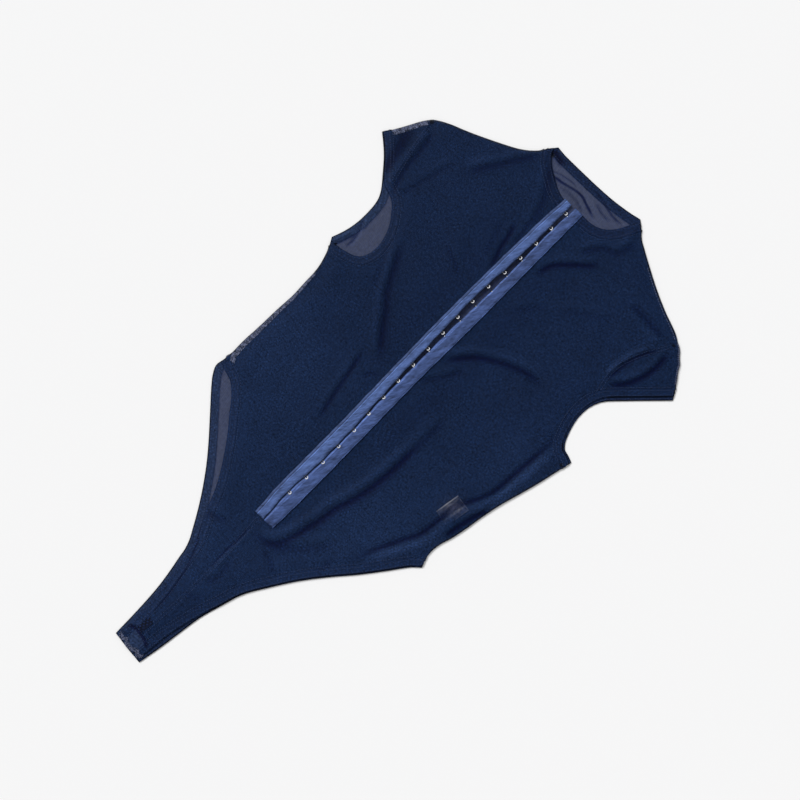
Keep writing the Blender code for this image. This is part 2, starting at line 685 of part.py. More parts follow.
# The care label, between the layers
along = Vector((math.cos(LABEL_ANGLE), math.sin(LABEL_ANGLE))) * LABEL_LONG
out = Vector((math.sin(LABEL_ANGLE), -math.cos(LABEL_ANGLE))) * LABEL_SHORT
corner = Vector(LABEL_CORNER)
wall("care_label", [corner, corner + out, corner + out + along, corner + along],
     on_the_back, LABEL, label_grey)
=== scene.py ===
"""The looks of a navy power mesh bodysuit with cap sleeves, laid flat with its front up.

Places on the garment are written in millimetres as (across, up): across from the front opening toward
the wearer's left, and up from the crotch end toward the neck. Meshes are in metres, in the CAD's frame.
"""

import math
from collections import namedtuple

import bpy
import numpy as np
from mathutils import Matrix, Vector, kdtree
from mathutils.geometry import delaunay_2d_cdt


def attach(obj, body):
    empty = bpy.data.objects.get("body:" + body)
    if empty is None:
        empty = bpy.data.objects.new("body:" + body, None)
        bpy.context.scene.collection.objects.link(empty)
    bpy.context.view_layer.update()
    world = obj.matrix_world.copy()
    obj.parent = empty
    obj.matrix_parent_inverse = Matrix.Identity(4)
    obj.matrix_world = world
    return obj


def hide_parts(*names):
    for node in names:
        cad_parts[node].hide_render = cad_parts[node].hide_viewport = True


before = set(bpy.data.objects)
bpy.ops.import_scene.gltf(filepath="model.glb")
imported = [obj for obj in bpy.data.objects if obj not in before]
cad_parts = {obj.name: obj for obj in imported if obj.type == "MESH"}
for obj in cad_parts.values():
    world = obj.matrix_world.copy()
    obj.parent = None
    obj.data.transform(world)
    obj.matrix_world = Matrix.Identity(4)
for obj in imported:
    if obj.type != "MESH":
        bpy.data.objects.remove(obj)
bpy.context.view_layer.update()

# The camera looks down at the garment at a steep angle from the side of its left leg, as in the photo.
# It stands far back, so the garment's outline has little perspective.
VIEW_TURN = math.radians(44.24)
VIEW_RISE = math.radians(80.0)
VIEW_FAR = 1.8
VIEW_WIDE = 0.926
VIEW_TARGET = Vector((0.007776, 0.032951, 0.0))
look = Vector((
    -math.sin(VIEW_TURN) * math.cos(VIEW_RISE),
    math.cos(VIEW_TURN) * math.cos(VIEW_RISE),
    -math.sin(VIEW_RISE),
))
camera = bpy.data.objects.new("camera", bpy.data.cameras.new("camera"))
camera.data.angle = 2.0 * math.atan(VIEW_WIDE / 2.0 / VIEW_FAR)
camera.location = VIEW_TARGET - look * VIEW_FAR
camera.rotation_mode = "QUATERNION"
camera.rotation_quaternion = look.to_track_quat("-Z", "Y")
camera.data.clip_end = 20.0
bpy.context.collection.objects.link(camera)
bpy.context.scene.camera = camera
bpy.context.scene.view_settings.view_transform = "Standard"

# A plain pale table top, one large soft lamp at the garment's right side, and even light from all round.
# The lamp stands low enough for each crease to have a light and a dark side.
TABLE_HALF = 4.0
TABLE_LEVEL = -0.0004
LAMP_STRENGTH = 2.75
LAMP_SOFT = math.radians(24.0)
LAMP_FROM = Vector((-0.80, 0.12, 0.60))
SKY_STRENGTH = 0.50
top = bpy.data.meshes.new("table_top")
top.from_pydata(
    [(x * TABLE_HALF, y * TABLE_HALF, TABLE_LEVEL) for x, y in ((-1, -1), (1, -1), (1, 1), (-1, 1))],
    [],
    [(0, 1, 2, 3)],
)
table_top = bpy.data.objects.new("table_top", top)
bpy.context.collection.objects.link(table_top)
pale = bpy.data.materials.new("pale_table")
pale.use_nodes = True
paint = pale.node_tree.nodes["Principled BSDF"]
paint.inputs["Base Color"].default_value = (0.905, 0.905, 0.908, 1.0)
paint.inputs["Roughness"].default_value = 0.9
paint.inputs["Specular IOR Level"].default_value = 0.1
top.materials.append(pale)
lamp = bpy.data.objects.new("soft_lamp", bpy.data.lights.new("soft_lamp", "SUN"))
lamp.data.energy = LAMP_STRENGTH
lamp.data.angle = LAMP_SOFT
lamp.rotation_mode = "QUATERNION"
lamp.rotation_quaternion = (-LAMP_FROM).to_track_quat("-Z", "Y")
bpy.context.collection.objects.link(lamp)
sky = bpy.data.worlds.new("soft_room")
sky.use_nodes = True
sky.node_tree.nodes["Background"].inputs["Color"].default_value = (1.0, 1.0, 1.0, 1.0)
sky.node_tree.nodes["Background"].inputs["Strength"].default_value = SKY_STRENGTH
bpy.context.scene.world = sky

# The back panel, one piece of sheer power mesh from neck to crotch that lies flat on the table.
# It shows on its own inside the neck and the right armhole, and through the front everywhere else.
MIDDLE = np.array((6.15, 383.6))
MM = 0.001
BACK_LEVEL = 0.42
BACK_WAVE = 0.12
BACK_LOWEST = 0.2
BACK_STEP = 5.0
CORNER = math.radians(38.0)
OUTLINE_STEP = 3.0
FINE = 1.0
# How far a panel goes under a binding and under its neighbour, and how far a free edge is let out
BINDING_TUCK = 2.0
SEAM_TUCK = 0.2
EDGE_ROUND = 0.45
TOUCHING = 1.3


def outline_of(node):
    """The outline of a CAD node's top face, as (across, up) points round it."""
    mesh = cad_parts[node].data
    mesh.calc_loop_triangles()
    spots = np.array([vertex.co for vertex in mesh.vertices])
    flat = np.round(spots[:, :2] / MM + MIDDLE, 2)
    sides = {}
    for triangle in mesh.loop_triangles:
        if triangle.normal.z < 0.5:
            continue
        corners = [tuple(flat[index]) for index in triangle.vertices]
        for here, there in zip(corners, corners[1:] + corners[:1]):
            if (there, here) in sides:
                del sides[there, here]
            else:
                sides[here, there] = True
    after = {here: there for here, there in sides}
    start = next(iter(after))
    loop = [start]
    while after[loop[-1]] != start:
        loop.append(after[loop[-1]])
    return np.array(loop)


def curve_through(points, step, closed=False):
    """A smooth line through the points, with its own points about a step apart."""
    points = np.asarray(points, float)
    if closed:
        held = np.vstack((points[-1], points, points[0], points[1]))
    else:
        held = np.vstack((2 * points[0] - points[1], points, 2 * points[-1] - points[-2]))
    line = []
    for a, b, c, d in zip(held, held[1:], held[2:], held[3:]):
        reach = np.hypot(*(c - b))
        count = max(1, round(reach / step))
        at_b = (c - a) * reach / max(np.hypot(*(b - a)) + reach, 0.01)
        at_c = (d - b) * reach / max(np.hypot(*(d - c)) + reach, 0.01)
        t = (np.arange(count) / count)[:, None]
        line.append(
            b * (2 * t**3 - 3 * t**2 + 1) + at_b * (t**3 - 2 * t**2 + t)
            + c * (3 * t**2 - 2 * t**3) + at_c * (t**3 - t**2)
        )
    if not closed:
        line.append(points[-1:])
    return np.vstack(line)


def rounded(loop, step=OUTLINE_STEP):
    """The outline with smooth edges between its corners."""
    before = loop - np.roll(loop, 1, axis=0)
    after = np.roll(loop, -1, axis=0) - loop
    turn = np.arctan2(
        before[:, 0] * after[:, 1] - before[:, 1] * after[:, 0], (before * after).sum(axis=1)
    )
    corners = np.flatnonzero(np.abs(turn) > CORNER)
    if len(corners) < 2:
        return curve_through(loop, step, closed=True)
    pieces = []
    for start, end in zip(corners, np.append(corners[1:], corners[0] + len(loop))):
        edge = loop[np.arange(start, end + 1) % len(loop)]
        pieces.append(curve_through(edge, step)[:-1])
    return np.vstack(pieces)


def ring(loop):
    """The outline with its first point again at the end."""
    return np.vstack((loop, loop[:1]))


def inset(loop, distance):
    """The outline moved inward, by one distance or by one for each point, or outward below zero."""
    along = np.roll(loop, -1, axis=0) - np.roll(loop, 1, axis=0)
    along /= np.maximum(np.hypot(*along.T), 0.001)[:, None]
    return loop + np.column_stack((-along[:, 1], along[:, 0])) * np.reshape(distance, (-1, 1))


def search(points):
    """A search tree of points on the garment."""
    tree = kdtree.KDTree(len(points))
    for index, (across, up) in enumerate(points):
        tree.insert((across, up, 0.0), index)
    tree.balance()
    return tree


def search_along(loop):
    """A search tree of close points along an outline."""
    return search(curve_through(loop, FINE, closed=True))


def gaps(tree, points):
    """How far each point is from the nearest point in the tree."""
    return np.array([tree.find((across, up, 0.0))[2] for across, up in points])


def measure(points, line):
    """How far each point is from a line, with a sign for its side, and how far along the line that is."""
    side = line[1:] - line[:-1]
    length = np.maximum(np.hypot(*side.T), 1e-6)
    run = np.concatenate(([0.0], np.cumsum(length)[:-1]))
    gap = np.empty(len(points))
    runs = np.empty(len(points))
    for start in range(0, len(points), 4000):
        some = points[start : start + 4000]
        out = some[:, None, :] - line[None, :-1, :]
        part = np.clip((out * side).sum(axis=2) / length**2, 0.0, 1.0)
        off = out - side * part[..., None]
        far = np.hypot(off[..., 0], off[..., 1])
        best = far.argmin(axis=1)
        rows = np.arange(len(some))
        turn = side[best, 0] * out[rows, best, 1] - side[best, 1] * out[rows, best, 0]
        gap[start : start + 4000] = np.copysign(far[rows, best], turn)
        runs[start : start + 4000] = run[best] + part[rows, best] * length[best]
    return gap, runs, length.sum()


def eased(value):
    """Eases from 0 to 1 as the value goes from 0 to 1."""
    part = np.clip(value, 0.0, 1.0)
    return part * part * (3.0 - 2.0 * part)


def inside(points, loop):
    """Which points lie inside the outline."""
    found = np.zeros(len(points), bool)
    for a, b in zip(loop, np.roll(loop, -1, axis=0)):
        if a[1] == b[1]:
            continue
        between = (a[1] > points[:, 1]) != (b[1] > points[:, 1])
        cross = a[0] + (b[0] - a[0]) * (points[:, 1] - a[1]) / (b[1] - a[1])
        found ^= between & (points[:, 0] < cross)
    return found


def staggered(low, high, step):
    """Points in staggered rows a step apart, from a low corner to a high one."""
    rows = []
    for number, up in enumerate(np.arange(low[1], high[1], step * 0.866)):
        across = np.arange(low[0] + step / 2 * (number % 2), high[0], step)
        rows.append(np.column_stack((across, np.full(len(across), up))))
    return np.vstack(rows)


def fill(loop, step, close_boxes=()):
    """Points and triangles a step apart that fill an outline, closer in boxes of (low, high, step)."""
    grid = staggered(loop.min(axis=0), loop.max(axis=0), step)
    for low, high, close in close_boxes:
        grid = grid[((grid < low) | (grid > high)).any(axis=1)]
        grid = np.vstack((grid, staggered(low, high, close)))
    grid = grid[inside(grid, loop)]
    least = min([step] + [close for _, _, close in close_boxes]) * 0.5
    grid = grid[np.abs(measure(grid, ring(loop))[0]) > least]
    every = [Vector(point) for point in np.vstack((loop, grid))]
    found, _, triangles, *_ = delaunay_2d_cdt(every, [], [list(range(len(loop)))], 1, 0.0001)
    points = np.array([tuple(point) for point in found])
    triangles = np.array(triangles)
    a, b, c = (points[triangles[:, k]] for k in range(3))
    turn = (b[:, 0] - a[:, 0]) * (c[:, 1] - a[:, 1]) - (b[:, 1] - a[:, 1]) * (c[:, 0] - a[:, 0])
    triangles[turn < 0] = triangles[turn < 0][:, ::-1]
    return points, triangles[np.abs(turn) > 1e-6]


def ripple(points, length, seed):
    """Soft uneven waves from -1 to 1, about the given length in millimetres."""
    draw = np.random.default_rng(seed)
    total = np.zeros(len(points))
    for _ in range(9):
        turn = draw.uniform(0.0, math.tau)
        wave = math.tau / (length * draw.uniform(0.7, 1.6))
        way = np.array((math.cos(turn), math.sin(turn)))
        total += np.sin(points @ way * wave + draw.uniform(0.0, math.tau))
    return total / 4.5


# A crease is a trough along a line of points with a ridge beside it, on the line's left where side is 1
# and on its right where it is -1. Near and far are the trough's widths toward and away from the ridge,
# reach is how far off the ridge's crest lies, and tone is how much painted shade darkens the trough's
# colour, or how much painted light pales it below zero. The ridge also gets a little painted light.
Crease = namedtuple("Crease", "line depth rise near far reach side tone")
BACK_CREASES = (
    Crease(((-52, 736), (-44, 737.2), (-26.6, 739.6), (-10, 742.9), (-1, 742.5), (9.2, 738.2), (19.3, 735.1),
            (26, 731)), 0.3, 0.8, 1.3, 1.9, 4.0, 1, 0.9),
    Crease(((-52, 740), (-47.4, 741.6), (-37.2, 744.6), (-26.2, 746.7), (-13.5, 747)),
           0.2, 0.5, 1.2, 1.5, 3.0, 1, 0.55),
    Crease(((2, 758), (8.1, 757.7), (23.2, 754.5), (39.8, 749.9), (55.6, 749.8)),
           0.3, 0.7, 1.3, 1.7, 3.4, 1, 0.6),
    Crease(((-66, 762), (-58.5, 758.5), (-50, 756.4), (-44, 755)), 0.2, 0.2, 3.4, 3.6, 7.0, 1, 1.0),
    Crease(((-30, 733), (-14, 735), (0, 733), (12, 728)), 0.1, 0.5, 2.0, 2.5, 4.5, 1, 0.25),
    Crease(((14, 748), (28, 743), (42, 742)), 0.2, 0.6, 1.6, 2.2, 4.0, -1, 0.35),
    Crease(((-172, 497), (-167, 510), (-162, 523)), 0.2, 0.9, 1.3, 2.0, 4.0, 1, 0.5),
    Crease(((-160, 501), (-159, 516), (-163, 531), (-170, 546)), 0.2, 0.8, 1.3, 2.2, 4.0, -1, 0.5),
    Crease(((-120, 250), (-112, 300), (-118, 360), (-108, 420)), 0.1, 0.4, 5.0, 6.0, 9.0, 1, 0.1),
    Crease(((96, 300), (104, 352), (92, 410), (100, 470)), 0.1, 0.4, 5.0, 6.0, 9.0, -1, 0.1),
    Crease(((-40, 560), (-62, 610), (-70, 660)), 0.1, 0.4, 4.0, 5.0, 8.0, 1, 0.1),
    Crease(((60, 580), (88, 620), (120, 646)), 0.1, 0.4, 4.0, 5.0, 8.0, -1, 0.1),
    # Painted shadow of the fastening tapes on the back, along the slot between them
    Crease(((-1, 214), (1, 300), (-1, 400), (-4, 480), (-6, 540), (-4, 620), (-1, 700), (-1, 732)),
           0.0, 0.0, 4.0, 4.5, 8.0, 1, 0.3),
)


def creased(points, creases):
    """The height that the creases give each point, in millimetres, and their tone: painted shade below zero,
    painted light above.
    """
    height = np.zeros(len(points))
    tone = np.zeros(len(points))
    for crease in creases:
        gap, run, length = measure(points, curve_through(crease.line, 5.0))
        gap *= crease.side
        ends = eased(np.minimum(run, length - run) / (length * 0.2) + 0.14)
        trough = np.exp(-((gap / np.where(gap > 0, crease.near, crease.far)) ** 2))
        spread = np.where(gap < crease.reach, 0.5, 0.65) * crease.reach
        ridge = np.exp(-(((gap - crease.reach) / spread) ** 2))
        height += (crease.rise * ridge - crease.depth * trough) * ends
        # Painted shade in each trough and a little painted light on each ridge
        tone += (0.3 * min(1.0, crease.rise) * ridge - crease.tone * trough) * ends
    return height, tone


# Painted light and shade: where the cloth is painted paler or darker, as a share, over a patch of about the
# given reach
Patch = namedtuple("Patch", "across up reach share")
# Painted light on the back's strips along the left side, which lie in the front's shadow
BACK_PAINTED_LIGHT = (
    Patch(176, 535, 34, 0.9),
    Patch(150, 285, 30, 0.7),
    Patch(110, 225, 40, 0.8),
    Patch(70, 172, 36, 0.8),
)


def patched(points, patches):
    """The sum of soft round patches at each point."""
    total = np.zeros(len(points))
    for patch in patches:
        off = np.hypot(points[:, 0] - patch.across, points[:, 1] - patch.up)
        total += patch.share * np.exp(-((off / patch.reach) ** 2))
    return total


def back_lay(points):
    """The back layer's height at each point, its painted shade and painted light, and how close its cloth
    looks.
    """
    height, tone = creased(points, BACK_CREASES)
    height = np.maximum(BACK_LOWEST, BACK_LEVEL + height + BACK_WAVE * ripple(points, length=46.0, seed=4))
    return height, {"tone": tone, "pale": patched(points, BACK_PAINTED_LIGHT), "close": np.zeros(len(points))}


def piece_of(name, mesh, material):
    """A piece of the scene, smooth all over, from its mesh and its material."""
    mesh.shade_smooth()
    mesh.materials.append(material)
    piece = bpy.data.objects.new(name, mesh)
    bpy.context.collection.objects.link(piece)
    return piece


def cloth(name, loop, lay, step, material, rim, half=0.0, marks=None, roll=1.2, close_boxes=()):
    """A sheet of cloth over an outline, or with a half thickness a strip folded over the open rim."""
    points, triangles = fill(loop, step, close_boxes)
    height, looks = lay(points)
    fold = gaps(rim, points)
    looks["edge"] = fold
    if marks:
        looks.update(marks(points))
    flat = (points - MIDDLE) * MM
    places = np.column_stack((flat, height * MM))
    if half:
        part = np.clip(fold / roll, 0.0, 1.0)
        bulge = half * np.sqrt(part * (2.0 - part))
        low = np.flatnonzero(fold > FINE * 0.7)
        twin = np.arange(len(points))
        twin[low] = len(points) + np.arange(len(low))
        under = places[low] - np.column_stack((np.zeros((len(low), 2)), bulge[low] * MM))
        places[:, 2] += bulge * MM
        places = np.vstack((places, under))
        bottom = twin[triangles[:, ::-1]]
        triangles = np.vstack((triangles, bottom[(bottom >= len(points)).any(axis=1)]))
        looks = {key: np.concatenate((value, value[low])) for key, value in looks.items()}
        flat = np.vstack((flat, flat[low]))
    mesh = bpy.data.meshes.new(name)
    mesh.from_pydata(places.tolist(), [], triangles.tolist())
    chart = mesh.uv_layers.new(name="cut")
    index = np.empty(len(mesh.loops), int)
    mesh.loops.foreach_get("vertex_index", index)
    chart.data.foreach_set("uv", flat[index].ravel())
    for key, value in looks.items():
        mesh.attributes.new(key, "FLOAT", "POINT").data.foreach_set("value", value)
    return piece_of(name, mesh, material)


def settled(piece, slot, *nodes):
    """The piece rides on the one body and hides the CAD parts of the nodes it stands for. The slot is not
    used.
    """
    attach(piece, "root")
    if nodes:
        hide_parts(*nodes)
    return piece


def group_node(tree, group, vector, **values):
    """A shader group in a material, with its vector and its values by socket name."""
    node = tree.nodes.new("ShaderNodeGroup")
    node.node_tree = group
    tree.links.new(vector, node.inputs["Vector"])
    for name, value in values.items():
        node.inputs[name].default_value = value
    return node


def math_node(tree, operation, first, second=None, third=None, clamp=False):
    """A maths node whose inputs are sockets or numbers, and its output socket."""
    node = tree.nodes.new("ShaderNodeMath")
    node.operation = operation
    node.use_clamp = clamp
    for socket, value in zip(node.inputs, (first, second, third)):
        if value is None:
            continue
        if isinstance(value, bpy.types.NodeSocket):
            tree.links.new(value, socket)
        else:
            socket.default_value = value
    return node.outputs[0]


def mark_node(tree, name):
    """The output socket of a value that the cloth's mesh stores at each of its points."""
    node = tree.nodes.new("ShaderNodeAttribute")
    node.attribute_name = name
    return node.outputs["Fac"]


def scaled_colour(tree, colour, factor):
    """A colour, given as a socket or as three numbers, times a factor."""
    node = tree.nodes.new("ShaderNodeVectorMath")
    node.operation = "SCALE"
    if isinstance(colour, bpy.types.NodeSocket):
        tree.links.new(colour, node.inputs[0])
    else:
        node.inputs[0].default_value = colour
    tree.links.new(factor, node.inputs["Scale"])
    return node.outputs[0]


def mixed_colour(tree, first, second, factor):
    """Goes from the first colour to the second as the factor goes from 0 to 1."""
    node = tree.nodes.new("ShaderNodeMix")
    node.data_type = "RGBA"
    for socket, colour in (("A", first), ("B", second)):
        if isinstance(colour, bpy.types.NodeSocket):
            tree.links.new(colour, node.inputs[socket])
        else:
            node.inputs[socket].default_value = (*colour, 1.0)
    tree.links.new(factor, node.inputs["Factor"])
    return node.outputs["Result"]


def coloured(tree, shader, colour, factor):
    """Gives the shader a colour times a factor that changes over the surface."""
    tree.links.new(scaled_colour(tree, colour, factor), shader.inputs["Base Color"])


def raised(tree, height, strength, shader):
    """Low relief on the shader from a height that changes over the surface."""
    bump = tree.nodes.new("ShaderNodeBump")
    bump.inputs["Strength"].default_value = strength
    bump.inputs["Distance"].default_value = 0.0002
    tree.links.new(height, bump.inputs["Height"])
    tree.links.new(bump.outputs["Normal"], shader.inputs["Normal"])


def new_material(name, rough, shine, sheen=0.0, chart=True):
    """A material with its tree, its shader and the socket of its chart, or of its own place."""
    material = bpy.data.materials.new(name)
    material.use_nodes = True
    tree = material.node_tree
    shader = tree.nodes["Principled BSDF"]
    shader.inputs["Roughness"].default_value = rough
    shader.inputs["Specular IOR Level"].default_value = shine
    shader.inputs["Sheen Weight"].default_value = sheen
    shader.inputs["Sheen Roughness"].default_value = 0.45
    shader.inputs["Sheen Tint"].default_value = (0.55, 0.65, 1.0, 1.0)
    if chart:
        node = tree.nodes.new("ShaderNodeUVMap")
        node.uv_map = "cut"
        return material, tree, shader, node.outputs["UV"]
    return material, tree, shader, tree.nodes.new("ShaderNodeTexCoord").outputs["Object"]


def new_group(name, inputs, outputs):
    """An empty shader group with a vector input, float inputs and outputs, and its two end nodes."""
    tree = bpy.data.node_groups.new(name, "ShaderNodeTree")
    tree.interface.new_socket("Vector", in_out="INPUT", socket_type="NodeSocketVector")
    for socket in inputs:
        tree.interface.new_socket(socket, in_out="INPUT", socket_type="NodeSocketFloat")
    for socket in outputs:
        tree.interface.new_socket(socket, in_out="OUTPUT", socket_type="NodeSocketFloat")
    return tree, tree.nodes.new("NodeGroupInput"), tree.nodes.new("NodeGroupOutput")


# Knitted holes: three sets of waves at 60 degrees make a honeycomb of holes with thread between them
knit_holes, knit_in, knit_out = new_group("knit_holes", ("Pitch", "Turn", "Drift"), ("Thread", "Wave"))
drift = knit_holes.nodes.new("ShaderNodeTexNoise")
drift.inputs["Scale"].default_value = 11.0
drift.inputs["Detail"].default_value = 1.0
knit_holes.links.new(knit_in.outputs["Vector"], drift.inputs["Vector"])
shift = knit_holes.nodes.new("ShaderNodeVectorMath")
shift.operation = "SUBTRACT"
shift.inputs[1].default_value = (0.5, 0.5, 0.5)
knit_holes.links.new(drift.outputs["Color"], shift.inputs[0])
moved = knit_holes.nodes.new("ShaderNodeVectorMath")
moved.operation = "ADD"
knit_holes.links.new(knit_in.outputs["Vector"], moved.inputs[0])
knit_holes.links.new(scaled_colour(knit_holes, shift.outputs[0], knit_in.outputs["Drift"]), moved.inputs[1])
turned = knit_holes.nodes.new("ShaderNodeVectorRotate")
turned.rotation_type = "Z_AXIS"
knit_holes.links.new(moved.outputs[0], turned.inputs["Vector"])
knit_holes.links.new(knit_in.outputs["Turn"], turned.inputs["Angle"])
wave_sum = None
for third in range(3):
    way = knit_holes.nodes.new("ShaderNodeVectorMath")
    way.operation = "DOT_PRODUCT"
    way.inputs[1].default_value = (math.cos(third * math.pi / 3), math.sin(third * math.pi / 3), 0.0)
    knit_holes.links.new(turned.outputs[0], way.inputs[0])
    phase = math_node(knit_holes, "DIVIDE", way.outputs["Value"], knit_in.outputs["Pitch"])
    wave = math_node(knit_holes, "COSINE", math_node(knit_holes, "MULTIPLY", phase, math.tau))
    wave_sum = wave if wave_sum is None else math_node(knit_holes, "ADD", wave_sum, wave)
hole = math_node(knit_holes, "MULTIPLY_ADD", wave_sum, 0.34, 0.06, clamp=True)
knit_holes.links.new(math_node(knit_holes, "SUBTRACT", 1.0, hole), knit_out.inputs["Thread"])
knit_holes.links.new(wave_sum, knit_out.inputs["Wave"])

# Uneven dye and lay: broad soft patches with a finer speckle of yarn over them
uneven, uneven_in, uneven_out = new_group("uneven_yarn", ("Patches", "Speckle", "Strength"), ("Factor",))
patches = uneven.nodes.new("ShaderNodeTexNoise")
patches.inputs["Detail"].default_value = 2.0
speckle = uneven.nodes.new("ShaderNodeTexNoise")
speckle.inputs["Detail"].default_value = 3.0
for texture, socket in ((patches, "Patches"), (speckle, "Speckle")):
    uneven.links.new(uneven_in.outputs["Vector"], texture.inputs["Vector"])
    uneven.links.new(uneven_in.outputs[socket], texture.inputs["Scale"])
both = math_node(uneven, "ADD", patches.outputs["Fac"], speckle.outputs["Fac"])
centred = math_node(uneven, "SUBTRACT", both, 1.0)
scaled = math_node(uneven, "MULTIPLY", centred, uneven_in.outputs["Strength"])
uneven.links.new(math_node(uneven, "ADD", scaled, 1.0), uneven_out.inputs["Factor"])


# The mesh's painted shade in its troughs, as shares of its own colour; its dark rim, partly the doubled fold
# and partly painted shade along the garment's outline; and the greyish painted sheen where it is painted
# light
TROUGH_SHADE_SHARES = (0.16, 0.20, 0.42)
DARK_RIM_AND_EDGE_SHADE = (0.0012, 0.002, 0.006)
PAINTED_SHEEN_COLOUR = (0.028, 0.040, 0.078)


def meshy_look(tree, chart, colour, shader, crossed, speckled=1.8):
    """Colours a shader as knitted mesh with painted shade, light and sheen, and gives the sockets of its
    thread, painted trough shade and grain.
    """
    knit = group_node(tree, knit_holes, chart, Pitch=0.0014, Turn=0.1, Drift=0.012)
    cells = group_node(tree, knit_holes, chart, Pitch=0.0032, Turn=-0.61, Drift=0.045)
    yarn = group_node(tree, uneven, chart, Patches=24.0, Speckle=110.0, Strength=0.42)
    grain = group_node(tree, uneven, chart, Patches=330.0, Speckle=520.0, Strength=speckled)
    patch = group_node(tree, uneven, chart, Patches=60.0, Speckle=110.0, Strength=2.4)
    # Painted shade in the troughs and painted light on the ridges, from the creases' tone
    tone = mark_node(tree, "tone")
    dark = math_node(tree, "MULTIPLY", tone, -1.1, clamp=True)
    light = math_node(tree, "MULTIPLY", tone, 1.0, clamp=True)
    trough_shade = tuple(part * share for part, share in zip(colour, TROUGH_SHADE_SHARES))
    shade = mixed_colour(tree, colour, trough_shade, dark)
    # A dark rim: partly the doubled fold, partly painted shade along the outline
    rim = math_node(tree, "MULTIPLY_ADD", mark_node(tree, "edge"), -1.0, 1.9, clamp=True)
    shade = mixed_colour(tree, shade, DARK_RIM_AND_EDGE_SHADE, math_node(tree, "MULTIPLY", rim, 0.9))
    swing = math_node(tree, "MULTIPLY", cells.outputs["Wave"], patch.outputs["Factor"])
    factor = math_node(tree, "MULTIPLY_ADD", swing, crossed, 1.0)
    factor = math_node(tree, "MULTIPLY", factor, grain.outputs["Factor"])
    fine = math_node(tree, "MULTIPLY_ADD", knit.outputs["Thread"], 0.3, 0.75)
    factor = math_node(tree, "MULTIPLY", factor, math_node(tree, "MULTIPLY", fine, yarn.outputs["Factor"]))
    # Painted light and a greyish painted sheen on the ridges and the pale patches
    lit = math_node(tree, "ADD", light, mark_node(tree, "pale"))
    painted_sheen = math_node(tree, "MULTIPLY", lit, 0.14, clamp=True)
    shade = mixed_colour(tree, shade, PAINTED_SHEEN_COLOUR, painted_sheen)
    paler = math_node(tree, "MULTIPLY_ADD", lit, 0.72, 1.0)
    factor = math_node(tree, "MAXIMUM", math_node(tree, "MULTIPLY", factor, paler), 0.05)
    coloured(tree, shader, shade, factor)
    raised(tree, knit.outputs["Thread"], 0.2, shader)
    return knit.outputs["Thread"], dark, grain.outputs["Factor"]


def power_mesh(name, colour, crossed, thin, thick, speckled):
    """Sheer knitted mesh: see-through at its holes, and closer in its troughs, where painted shade darkens
    it.
    """
    material, tree, shader, chart = new_material(name, rough=0.62, shine=0.05, sheen=0.012)
    thread, dark, grain = meshy_look(tree, chart, colour, shader, crossed, speckled)
    cover = math_node(tree, "MULTIPLY_ADD", thread, thick - thin, thin + 0.12)
    cover = math_node(tree, "MULTIPLY_ADD", grain, -0.12, cover)
    cover = math_node(tree, "MULTIPLY_ADD", dark, 0.2, cover)
    cover = math_node(tree, "ADD", cover, mark_node(tree, "close"), clamp=True)
    tree.links.new(cover, shader.inputs["Alpha"])
    return material


mesh_back = power_mesh(
    "power_mesh_back", (0.0085, 0.0215, 0.080), crossed=0.07, thin=0.590, thick=0.838, speckled=0.9)
mesh_front = power_mesh(
    "power_mesh_front", (0.0052, 0.0159, 0.0520), crossed=0.10, thin=0.62, thick=0.87, speckled=1.8)
BACK_PIECES = (
    "back_panel", "sleeve_left_back", "sleeve_right_back", "neckband_back", "armhole_band_left_back",
    "armhole_band_right_back", "leg_band_left_back", "leg_band_right_back", "closure_back",
)
back_outlines = {node: outline_of(node) for node in BACK_PIECES}
PLACKET_HALF = 24.0


def rim_of(outlines):
    """The points along a layer's open rim: its pieces' outlines without the seams between them."""
    trees = {node: search_along(loop) for node, loop in outlines.items()}
    found = []
    for node, loop in outlines.items():
        fine = inset(curve_through(loop, FINE, closed=True), -EDGE_ROUND)
        gap = np.min([gaps(tree, fine) for name, tree in trees.items() if name != node], axis=0)
        open_edge = gap > TOUCHING
        if "front_panel" in node:
            open_edge &= np.abs(fine[:, 0]) > PLACKET_HALF
        found.append(fine[open_edge])
    return np.vstack(found)


def tucked(node, outlines):
    """A panel's outline, let out under the bindings, up to its neighbours and round its free edges."""
    loop = rounded(outlines[node])
    out = np.zeros(len(loop))
    for name, other in outlines.items():
        if name == node:
            continue
        gap = gaps(search_along(other), loop)
        tuck = BINDING_TUCK if "band" in name or "closure" in name else SEAM_TUCK
        out[gap < TOUCHING] = np.maximum(out[gap < TOUCHING], tuck)
    return inset(loop, -np.where(out > 0.0, out, EDGE_ROUND))


back_rim = search(rim_of(back_outlines))
# Boxes inside the neck and the right armhole, where the back shows and its cloth is made finer
SEEN_BACK = (((-80.0, 700.0), (96.0, 768.0), 1.6), ((-186.0, 480.0), (-136.0, 560.0), 1.8))
back_panel = cloth(
    "back_panel_cloth", tucked("back_panel", back_outlines), back_lay, BACK_STEP, mesh_back, back_rim,
    close_boxes=SEEN_BACK,
)
settled(back_panel, "mesh_navy", "back_panel")

# The two front panels of the same mesh lie on the back and stand in soft folds where it was dropped.
# The long folds run from the leg to the belly and along the left side, and short ones from each seam.
FRONT_LOWEST = 1.12
FRONT_LEVEL = 1.28
FRONT_WAVE = 0.28
FRONT_STEP = 2.7
PUFF = 1.9
PUFF_REACH = 22.0
